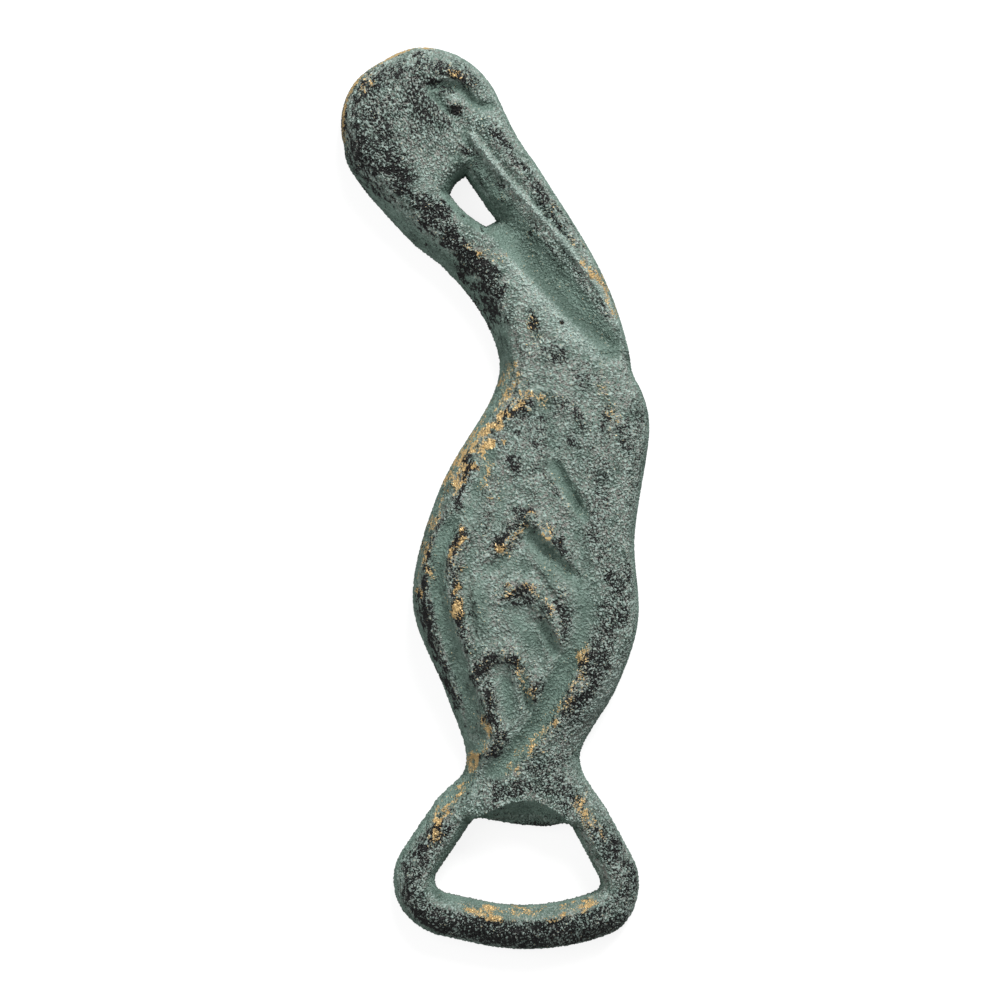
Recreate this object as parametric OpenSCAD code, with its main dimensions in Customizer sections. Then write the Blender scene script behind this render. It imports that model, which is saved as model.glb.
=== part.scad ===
// Figural bottle opener: a long-billed water bird, sand cast in one piece with a flat back.
// X runs to the right, Y from the opener loop up to the head, Z out of the front face.
// The back lies on Z = 0. Sizes are in millimetres.
// The front is one height over the plan. Each node is the part of the casting over its own zone of
// the plan, and neighbouring zones share their dividing lines, so they meet face to face.

/* [Mouth and loop] */
// Width of the mouth across its base corners, before they are rounded
mouth_w = 33; // [31:0.5:37]
// Width of the mouth across its upper corners, before they are rounded
mouth_top_w = 17.6; // [14:0.2:20]
// Height of the mouth from its upper corners to its base corners
mouth_h = 13; // [11:0.5:17]
// Drop of the curved base of the mouth below its corners
mouth_sag = 3.1; // [1.9:0.2:5.9]
// Shift of the mouth's base to the right of the waist
loop_x = -1.2; // [-3:0.2:3]
// Width of the loop's side bars in plan
bar_w = 7.3; // [5.5:0.2:8.9]
// Width of the loop's base bar in plan
base_w = 8; // [6:0.2:10]
// Thickness of the loop from back to front
loop_t = 7.6; // [5:0.2:9]

/* [Cap tooth] */
// Drop of the tooth below the mouth's upper corners
tooth_drop = 0.9; // [0.4:0.1:2]
// Rise of the ramp's front edge above the mouth's upper corners
tooth_rise = 3.6; // [2:0.2:5]
// Thickness of the tooth at its tip
tooth_t = 2.4; // [1.6:0.1:3.6]

/* [Body] */
// Length of the tail web from the mouth's upper corners to the waist
tail_l = 12; // [10:0.5:16]
// Width of the waist between body and tail
tail_w = 21; // [16:0.2:25]
// Width across the belly
belly_w = 41; // [34:0.5:48]
// Distance of the belly's widest line above the waist
belly_y = 28; // [22:0.5:34]
// Distance of the shoulder line above the waist
body_l = 66; // [58:0.5:74]
// Width across the shoulder line
shoulder_w = 27.2; // [23:0.1:32]
// Shift of the shoulder line's middle to the right of the waist
shoulder_x = 8.4; // [5:0.2:11]
// Thickness of the body from back to front
body_t = 13.5; // [10:0.5:17]

/* [Neck and head] */
// Width of the neck beside the window
neck_w = 11.4; // [8:0.2:13]
// Thickness of the neck
neck_t = 10.8; // [8:0.2:14]
// Rise of the head's middle above the shoulder line
neck_rise = 49.2; // [45:0.2:54]
// Lean of the head's middle to the left of the shoulder line's middle
neck_lean = 28.2; // [25:0.2:31]
// Diameter of the head
head_d = 26.8; // [25:0.2:30]
// Extra radius of the brow toward the bill
brow_out = 2.8; // [1:0.1:4]
// Thickness of the head
head_t = 12.5; // [9:0.5:16]

/* [Bill] */
// Length of the bill along its outer edge
bill_l = 52; // [48:0.5:54]
// Angle of the bill below level
bill_dip = 62.7; // [61:0.1:65]
// Bow of the bill's outer edge
bill_bow = 2.2; // [0:0.1:3]
// Width of the bill at its root
bill_w = 12.2; // [11:0.2:14]
// Width of the bill at its tip
bill_tip_w = 2.6; // [1.8:0.1:4]
// Thickness of the bill
bill_t = 9.6; // [7:0.2:12]
// Width of the window between bill and neck
window_w = 4.1; // [3.1:0.1:5.1]
// Length of the window along the bill
window_l = 10; // [7:0.5:12]

/* [Relief] */
// Height of the thin edge all round the casting
edge_t = 1.8; // [1:0.1:3]
// Depth of the crease between bill and neck
crease_d = 2.8; // [1:0.1:4.4]
// Height of the ridge along the bill
ridge_h = 1; // [0.2:0.1:1.6]
// Depth of the crease round the wing
wing_d = 0.6; // [0.2:0.1:1.6]
// Height of the tallest feathers on the wing
feather_h = 1.2; // [0.2:0.1:2]
// Depth of the deepest grooves between the feathers
groove_d = 1.6; // [0.4:0.1:2.4]
// Depth of the groove under the brow
brow_d = 1.3; // [0.4:0.1:2]
// Height of the eye
eye_h = 1.4; // [0.4:0.1:2]

/* [Hidden] */
span = 5;                 // points on each span of a smooth curve
bill_split = 0.54;        // place of the line between the bill's two parts, from the neck side
window_start = 9.4;       // distance of the window's top from the bill's root
crease_end = 0.96;        // end of the crease along the bill, level with the tip of the outer edge
mouth_skew = 3;           // shift of the base's lowest point to the right of the mouth's middle
mouth_round = 1.9;        // radius of the mouth's upper corners
loop_lean = 0.4;          // how far the loop's base leans to the right
nape_out = 0.8;           // swell of the nape
crown_flat = 0.45;        // flattening of the crown
bill_dent = 0.35;         // dent of the bill's outer edge below the brow
window_bow = 0.6;         // bow of the window's side toward the neck

function mix(a, b, t) = a + (b - a) * t;
function unit(v) = v / norm(v);
function turn(v) = [-v.y, v.x];
function flip(p) = [for (i = [len(p) - 1:-1:0]) p[i]];
function cut(p, a, b) = [for (i = [a:b]) p[i]];
function tail_of(p) = cut(p, 1, len(p) - 1);
function total(v, i = 0) = i == len(v) ? 0 : v[i] + total(v, i + 1);

// One point of a smooth curve through b and c, whose neighbours are a and d
function smooth(a, b, c, d, t) =
    let (i = sqrt(norm(b - a)), j = sqrt(norm(c - b)), k = sqrt(norm(d - c)),
         from = j * ((b - a) / i - (c - a) / (i + j) + (c - b) / j),
         to = j * ((c - b) / j - (d - b) / (j + k) + (d - c) / k))
    b + t * from + t * t * (3 * (c - b) - 2 * from - to) + t * t * t * (2 * (b - c) + from + to);

// A smooth curve through all the points but the first and the last, which only steer its ends
function curve(p) = [
    for (i = [1:len(p) - 3]) for (k = [0:span - 1]) smooth(p[i - 1], p[i], p[i + 1], p[i + 2], k / span),
    p[len(p) - 2]];

// The arc that rounds corner b between a and c
function corner(a, b, c, r, n) =
    let (u = unit(a - b), v = unit(c - b), half = acos(u * v) / 2,
         mid = b + unit(u + v) * (r / sin(half)),
         from = b + u * (r / tan(half)) - mid,
         start = atan2(from.y, from.x),
         side = u.x * v.y - u.y * v.x > 0 ? 1 : -1,
         sweep = -side * (180 - 2 * half))
    [for (k = [0:n]) mid + r * [cos(start + sweep * k / n), sin(start + sweep * k / n)]];

// The same line with its points spaced evenly, n spans long
function lengths(p) = [for (i = 0, s = 0; i < len(p); s = s + (i + 1 < len(p) ? norm(p[i + 1] - p[i]) : 0),
    i = i + 1) s];
function at_length(p, sums, s) =
    let (i = max([for (k = [0:len(p) - 2]) if (sums[k] <= s) k]))
    mix(p[i], p[i + 1], min(1, (s - sums[i]) / max(0.0001, sums[i + 1] - sums[i])));
function evenly(p, n) =
    let (sums = lengths(p), all = sums[len(p) - 1])
    [for (k = [0:n]) k == n ? p[len(p) - 1] : at_length(p, sums, all * k / n)];

// Distance from point p to a line of points
function to_span(p, a, b) = let (d = b - a, t = max(0, min(1, ((p - a) * d) / (d * d)))) norm(p - a - t * d);
function to_line(p, line) = min([for (i = [0:len(line) - 2]) to_span(p, line[i], line[i + 1])]);

// A bump of height one that ends at t = 1, and a smooth step from 0 to 1
function bell(t) = abs(t) >= 1 ? 0 : pow(1 - t * t, 2);
function ease(t) = let (u = max(0, min(1, t))) u * u * (3 - 2 * u);

// Mouth: a rounded opening with a sagging base
mouth_tl = [-mouth_top_w / 2, -tail_l + 0.2];
mouth_tr = [mouth_top_w / 2, -tail_l - 0.8];
mouth_bl = [loop_x - mouth_w / 2, -tail_l - mouth_h];
mouth_br = [loop_x + mouth_w / 2, -tail_l - mouth_h];
mouth_b = [loop_x + mouth_skew, -tail_l - mouth_h - mouth_sag - 1.2];
arc_bl = corner(mouth_tl, mouth_bl, mouth_b, 2.5, 8);
arc_b = corner(mouth_bl, mouth_b, mouth_br, 36, 14);
arc_br = corner(mouth_b, mouth_br, mouth_tr, 2, 8);
mouth_low = concat(arc_bl, arc_b, arc_br);
tooth_l = mix(mouth_tl, mouth_tr, 0.47) - [0, tooth_drop];
tooth_r = mix(mouth_tl, mouth_tr, 0.75) - [0, tooth_drop];
arc_tl = corner(mouth_bl, mouth_tl, tooth_l, mouth_round, 6);
arc_tr = corner(tooth_r, mouth_tr, mouth_br, mouth_round, 6);
mouth_rim = concat(evenly([arc_tl[0], arc_bl[0]], 6), tail_of(mouth_low),
    tail_of(evenly([arc_br[8], arc_tr[6]], 6)));

// Loop: the mouth's rim carried outward by the bar
function rim_out(i) = let (n = len(mouth_rim) - 1)
    -turn(unit(mouth_rim[min(i + 1, n)] - mouth_rim[max(i - 1, 0)]));
loop_out = [for (i = [0:len(mouth_rim) - 1]) let (n = rim_out(i), down = max(0, -n.y))
    mouth_rim[i] + n * (mix(bar_w, base_w, pow(down, 2)) + loop_lean * (3 * pow(down, 3) - 0.6) * n.x)];
loop_last = len(loop_out) - 1;

// Body: flanks from the tail up to the shoulder line
waist_l = [0.2 - tail_w / 2, 0];
waist_r = [0.2 + tail_w / 2, 0];
hip_l = [waist_l.x - 0.5, -tail_l * 0.3];
hip_r = [waist_r.x + 0.5, -tail_l * 0.3];
belly_l = [0.5 - belly_w / 2, belly_y - 0.5];
belly_r = [0.7 + belly_w / 2, belly_y - 4];
thigh_l = [mix(waist_l.x, belly_l.x, 0.4), belly_y * 0.41];
thigh_r = [mix(waist_r.x, belly_r.x, 0.63), belly_y * 0.43];
shoulder_l = [shoulder_x - shoulder_w / 2, body_l];
shoulder_r = [shoulder_x + shoulder_w / 2, body_l];
back_l = [mix(belly_l.x, shoulder_l.x, 0.33), mix(belly_l.y, body_l, 0.54)];
chest_r = shoulder_r + [1.3, -5.5];
dip_r = mix(belly_r, chest_r, 0.42) - [1.5, 0];

// Head: an arc, flatter at the crown, that swells toward the bill
head_c = [shoulder_x - neck_lean, body_l + neck_rise];
function head_r(a) = head_d / 2 + brow_out * pow(max(0, min(1, (116 - a) / 100)), 1.1)
    - crown_flat * bell((a - 118) / 32);
function head_at(a, more = 0) = head_c + (head_r(a) + more) * [cos(a), sin(a)];

// Bill: a bowed course, an outer edge with a dent below the brow, and an inner edge one width inside
bill_root = head_at(16);
bill_way = [cos(bill_dip), -sin(bill_dip)];
bill_side = turn(bill_way);
bill_s0 = window_start / bill_l;
bill_s1 = (window_start + window_l) / bill_l;
function bill_width(s) = bill_w - (bill_w - bill_tip_w) * pow(max(0, (s - bill_s0) / (1 - bill_s0)), 2);
function bill_line(s) = bill_root + bill_way * bill_l * s + bill_side * bill_bow * sin(180 * pow(s, 1.75));
function bill_out(s) = bill_line(s) - bill_side * bill_dent * bell((s - 0.14) / 0.14);
function bill_in(s) = bill_line(s) - bill_side * bill_width(s);
bill_spans = 18;
bill_s = [for (k = [0:bill_spans]) mix(bill_s1, 1, k / bill_spans)];

// Window: the slot between the neck and the bill
window_tr = bill_in(bill_s0);
window_tl = window_tr - bill_side * window_w + bill_way * 1.7;
window_br = bill_in(bill_s1);
window_bl = window_br - bill_side * window_w * 0.55;
neck_way = unit(window_bl - window_tl);
neck_top = window_tl - turn(neck_way) * (neck_w - 0.3);
neck_low = window_bl - turn(neck_way) * (neck_w - 0.6);
throat = shoulder_l + [1.1, 5.4];
elbow = mix(throat, neck_low, 0.52) + [2.2, -0.6];
jamb = [for (k = [0:5])
    mix(window_bl, window_tl, k / 5) - turn(neck_way) * window_bow * sin(180 * k / 5)];

// Outlines, left and right: the loop, tail, body and neck, then the head and the bill
left_side = curve([loop_out[4], loop_out[0], hip_l, waist_l, thigh_l, belly_l, back_l, shoulder_l, throat,
    elbow, neck_low, neck_top, head_at(212, nape_out), head_at(196), head_at(180)]);
tail_left = cut(left_side, 0, 2 * span);
flank_left = cut(left_side, 2 * span, 6 * span);
neck_left = cut(left_side, 6 * span, 9 * span);
nape = cut(left_side, 9 * span, 10 * span);
jowl = cut(left_side, 10 * span, 11 * span);
skull = concat(cut(left_side, 11 * span, 12 * span), [for (a = [190:-6:16]) head_at(a)]);
bill_fan = [for (k = [0:5]) bill_out(bill_s0 * k / 5)];
bill_top = [for (k = [0:4]) bill_out(mix(bill_s0, bill_s1, k / 4))];
bill_rim = [for (s = bill_s) bill_out(s)];
notch_r = mix(bill_out(1), shoulder_r, 0.5) - [0.6, 0];
right_side = curve([bill_out(0.9), bill_out(1), notch_r, shoulder_r, chest_r, dip_r, belly_r, thigh_r,
    waist_r, hip_r, loop_out[loop_last], loop_out[loop_last - 4]]);
notch = flip([for (k = [0:2:2 * span]) right_side[k]]);
flank_right = flip(cut(right_side, 2 * span, 7 * span));
tail_right = cut(right_side, 7 * span, 9 * span);
outline = concat(left_side, tail_of(skull), tail_of(bill_fan), tail_of(bill_top), tail_of(bill_rim),
    tail_of(right_side), flip(loop_out));

// Lines inside the plan. The pivot is the window's rounded top, round which the head is swept.
crease = [for (k = [0:bill_spans]) bill_in(mix(bill_s1, crease_end, k / bill_spans))];
jowl_spans = len(jowl) - 1;
skull_spans = len(skull) - 1;
fan_spans = jowl_spans + skull_spans + 5;
pivot = [for (k = [0:fan_spans])
    mix(window_tl, window_tr, k / fan_spans) - bill_way * 0.5 * sin(180 * k / fan_spans)];
window = concat(jamb, tail_of(pivot), [window_br, window_bl]);

// Centre of the plan, which becomes the origin
plan_x = [for (p = outline) p.x];
plan_y = [for (p = outline) p.y];
middle = [(min(plan_x) + max(plan_x)) / 2, (min(plan_y) + max(plan_y)) / 2];

// Places over the plan: x, y, thickness there, width of the rounded edge and its fullness
edge_w = bar_w * 0.51;
places = [
    [loop_x, mouth_b.y - bar_w / 2, loop_t, edge_w, 1.5],
    [mouth_bl.x, mouth_bl.y, loop_t, edge_w, 1.5],
    [mouth_br.x, mouth_br.y, loop_t, edge_w, 1.5],
    [0, -tail_l / 2, mix(loop_t, body_t, 0.3), 6, 1.4],
    [0, belly_y * 0.4, mix(loop_t, body_t, 0.65), 6.5, 1.8],
    [1, belly_y, body_t, 6.5, 2.2],
    [5, mix(belly_y, body_l, 0.6), body_t, 6.2, 2.2],
    [belly_r.x - 2, belly_y, body_t * 0.9, 3.4, 2.2],
    [chest_r.x - 3, mix(belly_y, body_l, 0.7), body_t * 0.9, 3.4, 2.2],
    [shoulder_x, body_l, mix(neck_t, body_t, 0.7), 6.2, 1.9],
    [mix(throat.x, neck_low.x, 0.5), mix(throat.y, neck_low.y, 0.6), neck_t, 6.8, 1.5],
    [window_tl.x - 4, window_tl.y - 4, neck_t, 6.8, 1.5],
    [head_c.x, head_c.y, head_t, 6, 2.1],
    [bill_root.x - 3, bill_root.y - 8, bill_t, 3.6, 2.1],
    [mix(bill_in(0.5).x, bill_out(0.5).x, 0.5), mix(bill_in(0.5).y, bill_out(0.5).y, 0.5), bill_t, 3, 2.2],
    [bill_out(0.9).x, bill_out(0.9).y, bill_t, 2.6, 2.2]];
reach = 9;
function field(p) =
    let (w = [for (a = places) exp(-pow(norm(p - [a[0], a[1]]) / reach, 2) / 2) + 0.000001], sum = total(w))
    [for (c = [2:4]) total([for (i = [0:len(w) - 1]) w[i] * places[i][c]]) / sum];

// Wing: its edge crosses the body at a share of the way from the left flank to the right one
wing_root = 0.3;
wing_reach = 0.79;
body_spans = 56;
body_left = evenly(flank_left, body_spans);
body_right = evenly(flank_right, body_spans);
wing_line = [for (k = [0:body_spans])
    mix(body_left[k], body_right[k], mix(wing_root, wing_reach, sin(180 * pow(k / body_spans, 0.85))))];

// A stroke of relief: half-width, strength, middle and radius of its bounds, points along its smooth line,
// and each point's share of the strength, which fades at both ends
function stroke_of(half, strength, p) =
    let (n = len(p) - 1, line = curve(concat([2 * p[0] - p[1]], p, [2 * p[n] - p[n - 1]])),
         long = lengths(line)[len(line) - 1], m = max(2, floor(long / 0.8)), q = evenly(line, m),
         mid = (q[0] + q[m]) / 2)
    [half, strength, mid, max([for (a = q) norm(a - mid)]), q,
     [for (k = [0:m]) ease((min(k, m - k) * long / m + 0.6 * half) / (1.6 * half))]];
function lay(p, s) = norm(p - s[2]) > s[3] + s[0] ? 0
    : s[1] * max([for (k = [0:len(s[4]) - 1]) s[5][k] * bell(norm(p - s[4][k]) / s[0])]);
function highest(p, strokes) = max([for (s = strokes) lay(p, s)]);

// Strokes are drawn as seen from in front, for a body of the stated size, and are stretched with it
function on_body(q) = let (p = mix(q, [-4, 46.4], 0.016)) [p.x * belly_w / 41, p.y * body_l / 66];
function on_head(q) = mix(q, [16, -69], 0.016) + head_c;
function body_strokes(table, strength) =
    [for (s = table) stroke_of(s[0], s[1] * strength, [for (q = s[2]) on_body(q)])];

// Feathers: half-width, share of the full height, and points
feathers = body_strokes([
    [2.4, 1.0, [[-9, 41.5], [-12, 37], [-13, 31], [-12, 25], [-9, 18]]],
    [2.4, 0.6, [[-13, 46], [-16, 40], [-18, 33], [-18, 27], [-15.5, 18], [-12, 8.5]]],
    [2.6, 1.0, [[-4.5, 35.5], [-2, 40], [0.5, 43], [3, 42], [6, 37.5], [9, 33]]],
    [2.6, 1.0, [[-5, 28], [-0.5, 30.5], [2.5, 28], [5.5, 24.5], [7.5, 20]]],
    [2.2, 0.5, [[-8.5, 30], [-7.5, 26], [-7, 21.5]]],
    [2.5, 1.0, [[-8.5, 13], [-6, 17.5], [-3, 18.5], [-0.5, 15], [2, 9.5]]],
    [2.4, 0.9, [[-6.5, 12], [-5, 6], [-4.5, 2], [-7, -0.5], [-10, -3.5]]],
    [2.6, 0.6, [[12.5, 20], [11, 14], [8, 8], [4, 2], [-1, -3.5]]],
    [2.2, 0.5, [[3.5, 35.5], [7, 30.5], [10, 26]]],
    [2.6, 0.6, [[-3, 62.5], [0.5, 64.5], [5, 65.5], [9, 63.5], [12, 58]]],
    [2.5, 0.5, [[3.5, 54], [7, 48], [9.5, 43]]],
    [2.2, 0.5, [[-6.5, 53], [-4, 48]]],
    [2.4, 0.4, [[-2, 57], [1.5, 51], [2.5, 46.5]]],
    [2.2, 0.5, [[-7, 50], [-6, 44], [-7.5, 38]]]], feather_h);

// Grooves between the feathers: half-width, share of the full depth, and points
grooves = body_strokes([
    [2.4, 0.8, [[5.5, 54], [8.5, 48.5], [12, 42.5]]],
    [2.3, 0.8, [[0.5, 41], [5, 36.5], [10, 31.5]]],
    [2.2, 0.5, [[-7.5, 33], [-4.5, 34.5], [-2, 37.5]]],
    [2.3, 0.7, [[3, 24.5], [5, 21], [6.5, 17]]],
    [2.2, 0.6, [[-0.5, 15], [1, 10.5], [2, 6.5]]],
    [2.2, 0.4, [[-0.5, 27], [2, 22], [4, 16]]],
    [2.6, 0.6, [[-3.5, 15], [-2.5, 10], [-2, 5]]],
    [2.5, 0.9, [[-12, 43.5], [-15, 37.5], [-15.5, 31], [-14, 24], [-11.5, 15.5], [-9, 7], [-9, 1]]],
    [1.8, 0.4, [[-8, 39], [-10, 34], [-10, 28], [-8.5, 22]]],
    [3.4, 1.0, [[9.5, 19], [6, 11], [3, 5], [-1, 0], [-6, -4.5]]],
    [2.2, 0.5, [[-5.5, 57], [-7, 51], [-9.5, 46]]],
    [2.2, 0.4, [[-2.5, 50.5], [-4, 45], [-5, 40]]]], groove_d);

// Face, from the head's middle: the brow and the eye, then the groove under the brow, the socket's lower
// edge, the hollow behind the bill's ridge and the hollow over the window
face = [
    stroke_of(2.2, 0.6 * brow_d, [for (q = [[0.5, 10.5], [5.5, 10.5], [10, 8.5], [13, 6]]) on_head(q)]),
    stroke_of(1.7, eye_h, [for (q = [[7, 4.5], [8, 4]]) on_head(q)])];
face_hollows = [
    stroke_of(1.6, brow_d, [for (q = [[2, 7], [5.5, 7.5], [9, 7], [11, 4.5], [13, 4], [15, 4]]) on_head(q)]),
    stroke_of(1.5, 0.7 * brow_d, [for (q = [[2, 6.5], [4, 5.5], [5.5, 3.5], [7, 2]]) on_head(q)]),
    stroke_of(1.8, 0.6 * brow_d, [for (q = [[9, 0.5], [9.5, -2], [11, -4.5]]) on_head(q)]),
    stroke_of(3.2, 0.7 * brow_d, [for (q = [[6, -7], [9.5, -5]]) on_head(q)])];

// Bill: a ridge that nears the outer edge toward the tip, a groove and a crest beside it, and the pouch
// between the ridge and the crease. The pouch and the crease grow shallower toward the tip.
function along_bill(from, share, more) =
    [for (k = [0:20]) let (s = mix(from, 0.94, k / 20)) mix(bill_in(s), bill_out(s), share + more * s)];
ridge = along_bill(0.08, 0.33, 0.56);
bill_crest = along_bill(0.06, 0.55, 0.4);
bill_groove = along_bill(0.08, 0.45, 0.5);
pouch = along_bill(0.16, 0.2, 0.1);
function down_bill(p) =
    max(0, min(1, (p - window_br) * bill_way / norm(crease[bill_spans] - crease[0])));

// Height of the front over the plan
function rounding(d, r, full) = let (t = max(0, 1 - d / r)) pow(max(0, 1 - pow(t, full)), 1 / full);
function stroke(p, line, w, h) = h * bell(to_line(p, line) / w);
function edges(p, r, full) = rounding(to_line(p, outline), r, full) * rounding(to_line(p, window), 2.6, 1.7)
    * rounding(to_line(p, mouth_rim), 2.4, 1.6);
function crest(p) = max(stroke(p, ridge, 1.1, ridge_h) + stroke(p, bill_crest, 1.7, 0.4 * ridge_h),
    highest(p, feathers), highest(p, face));
function hollow(p) = let (t = down_bill(p))
    max(stroke(p, bill_groove, 1.2, 0.5 * ridge_h) + stroke(p, pouch, 3, 1.1 * ridge_h * (1 - t))
    + stroke(p, crease, 4, crease_d * (1 - 0.6 * t)) + stroke(p, wing_line, 3.2, wing_d),
    highest(p, grooves), highest(p, face_hollows));
function height(p) = let (f = field(p))
    edge_t + edges(p, f[1], f[2]) * (f[0] - edge_t + crest(p) - hollow(p));

// Places across a block, closer together at its two rails
function across(j, m) = (1 - cos(180 * j / m)) / 2;
function tops(a, b, m) =
    [for (i = [0:len(a) - 1]) [for (j = [0:m]) height(mix(a[i], b[i], across(j, m)))]];

// A solid between two rails of the plan, with its back on Z = 0 and the given heights in front.
// Rail b lies on the left of rail a's direction.
module relief_block(a, b, top) {
    n = len(a) - 1;
    m = len(top[0]) - 1;
    back = (n + 1) * (m + 1);
    points = concat(
        [for (i = [0:n]) for (j = [0:m])
            let (p = mix(a[i], b[i], across(j, m)) - middle) [p.x, p.y, top[i][j]]],
        [for (i = [0:n]) let (p = a[i] - middle) [p.x, p.y, 0]],
        [for (i = [0:n]) let (p = b[i] - middle) [p.x, p.y, 0]]);
    faces = concat(
        [for (i = [0:n - 1]) for (j = [0:m - 1]) let (q = i * (m + 1) + j) [q, q + 1, q + m + 2]],
        [for (i = [0:n - 1]) for (j = [0:m - 1]) let (q = i * (m + 1) + j) [q, q + m + 2, q + m + 1]],
        [for (i = [0:n - 1]) [back + i, back + i + 1, back + n + 2 + i]],
        [for (i = [0:n - 1]) [back + i, back + n + 2 + i, back + n + 1 + i]],
        [for (i = [0:n - 1]) [back + i, i * (m + 1), (i + 1) * (m + 1), back + i + 1]],
        [for (i = [0:n - 1]) [back + n + 2 + i, (i + 1) * (m + 1) + m, i * (m + 1) + m, back + n + 1 + i]],
        [concat([back + n + 1], [for (j = [m:-1:0]) j], [back])],
        [concat([back + n], [for (j = [0:m]) n * (m + 1) + j], [back + 2 * n + 1])]);
    polyhedron(points, faces, convexity = 6);
}

// The loop's bar, from the left of the tail round the mouth to its right
module opener_loop() {
    color("DarkSeaGreen") relief_block(loop_out, mouth_rim, tops(loop_out, mouth_rim, 10));
}

// Front edge of the tooth's ramp and the tooth's own edge, both from left to right
tooth_spans = 16;
tooth_brow = [for (k = [0:tooth_spans]) let (t = k / tooth_spans)
    mix(mouth_tl, mouth_tr, t) + [0, 0.5 + tooth_rise * sin(180 * pow(t, 1.2))]];
tooth_low = curve([arc_tl[5], arc_tl[6], tooth_l, tooth_r, arc_tr[0], arc_tr[1]]);
tooth_edge = evenly(concat(arc_tl, tail_of(tooth_low), tail_of(arc_tr)), tooth_spans);

// The ramped lip that hooks under the cap
module cap_tooth() {
    top = [for (brow = tooth_brow) let (h = height(brow), low = min(tooth_t, h - 0.2))
        [for (j = [0:6]) mix(low, h, let (t = across(j, 6)) 0.35 * t + 0.65 * pow(t, 3))]];
    color("SlateGray") relief_block(tooth_edge, tooth_brow, top);
}

// The web between the loop and the waist
tail_low = concat([mouth_rim[0]], tooth_brow, [mouth_rim[len(mouth_rim) - 1]]);
tail_high = concat(evenly(tail_left, 5), tail_of(evenly([waist_l, waist_r], 8)),
    tail_of(evenly(tail_right, 5)));
module tail() {
    color("CadetBlue") relief_block(tail_low, tail_high, tops(tail_low, tail_high, 12));
}

// The body to the right of the wing's edge
module breast() {
    color("DarkSeaGreen") relief_block(body_right, wing_line, tops(body_right, wing_line, 12));
}

// The body to the left of the wing's edge, with the feathers on it
module wing() {
    color("CadetBlue") relief_block(wing_line, body_left, tops(wing_line, body_left, 26));
}

// The shoulders and the neck, up to the jowl
tip_end = evenly([bill_out(1), bill_in(crease_end)], 2);
sill = evenly([window_br, window_bl], 2);
neck_in = concat(notch, tail_of(tip_end), tail_of(flip(crease)), tail_of(sill), tail_of(jamb),
    cut(pivot, 1, jowl_spans));
neck_low_spans = len(notch) + len(tip_end) + len(crease) + len(sill) - 4;
neck_out = concat(evenly(neck_left, neck_low_spans), tail_of(nape), tail_of(jowl));
module neck() {
    color("DarkSeaGreen") relief_block(neck_in, neck_out, tops(neck_in, neck_out, 20));
}

// The skull, swept round the window's top from the jowl to the bill's root
skull_in = cut(pivot, jowl_spans, jowl_spans + skull_spans);
module head() {
    color("CadetBlue") relief_block(skull_in, skull, tops(skull_in, skull, 20));
}

// The bill, in two parts along its middle
bill_inner = concat(cut(pivot, jowl_spans + skull_spans, fan_spans),
    tail_of(evenly([window_tr, window_br], 4)), tail_of(crease));
bill_outer = concat(bill_fan, tail_of(bill_top), tail_of(bill_rim));
bill_half = [for (i = [0:len(bill_inner) - 1]) mix(bill_inner[i], bill_outer[i], bill_split)];
module lower_bill() {
    color("SlateGray") relief_block(bill_inner, bill_half, tops(bill_inner, bill_half, 8));
}
module upper_bill() {
    color("DarkSeaGreen") relief_block(bill_half, bill_outer, tops(bill_half, bill_outer, 8));
}

opener_loop();
cap_tooth();
tail();
breast();
wing();
neck();
head();
lower_bill();
upper_bill();
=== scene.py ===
"""Looks of the cast iron bottle opener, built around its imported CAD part.

The casting is a long-billed water bird with an opener loop at the tail. Each zone of the casting is a
fine numpy surface over the same plan as its CAD node: a front with relief and sand grain, drafted walls
and a flat back. Paint coverage is kept in mesh attributes, and one layered finish turns it into colour.
Plan positions are in millimetres from the middle of the waist, and meshes are in metres in the CAD frame.
"""

import logging
from dataclasses import dataclass, field
from enum import Enum

import bpy
import numpy as np
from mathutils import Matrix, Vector
from numpy.typing import NDArray

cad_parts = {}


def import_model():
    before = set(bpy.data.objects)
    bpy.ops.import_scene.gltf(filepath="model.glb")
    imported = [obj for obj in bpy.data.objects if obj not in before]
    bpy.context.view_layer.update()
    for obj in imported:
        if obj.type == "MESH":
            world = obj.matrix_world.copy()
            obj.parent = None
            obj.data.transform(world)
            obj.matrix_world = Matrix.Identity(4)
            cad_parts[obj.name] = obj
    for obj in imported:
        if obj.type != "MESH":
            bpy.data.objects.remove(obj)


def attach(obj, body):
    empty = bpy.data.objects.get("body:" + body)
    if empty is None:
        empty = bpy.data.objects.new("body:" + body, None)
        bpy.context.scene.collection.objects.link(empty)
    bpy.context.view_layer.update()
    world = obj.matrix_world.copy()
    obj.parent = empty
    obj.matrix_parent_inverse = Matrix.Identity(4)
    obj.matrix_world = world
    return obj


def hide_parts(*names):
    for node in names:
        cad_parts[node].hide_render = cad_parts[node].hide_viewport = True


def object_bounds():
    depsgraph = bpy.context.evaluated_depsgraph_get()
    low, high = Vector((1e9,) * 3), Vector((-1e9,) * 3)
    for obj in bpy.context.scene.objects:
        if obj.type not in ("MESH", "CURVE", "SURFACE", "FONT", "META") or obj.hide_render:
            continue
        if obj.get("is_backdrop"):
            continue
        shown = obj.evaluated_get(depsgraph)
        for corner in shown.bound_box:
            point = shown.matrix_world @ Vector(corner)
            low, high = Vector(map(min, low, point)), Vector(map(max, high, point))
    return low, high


Array = NDArray[np.float64]
Pair = tuple[float, float]
Line = list[Pair]
Triple = tuple[float, float, float]
Socket = bpy.types.NodeSocket

LOG = logging.getLogger("bottle_opener")
MILLIMETRE = 0.001
BODY = "root"
BLOCK = 6000
# Distance in millimetres between the points of a stroke.
STROKE_STEP = 0.5
# Slope of the logistic curve that turns a normal draw into an even share from 0 to 1.
LOGISTIC = 1.7
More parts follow.
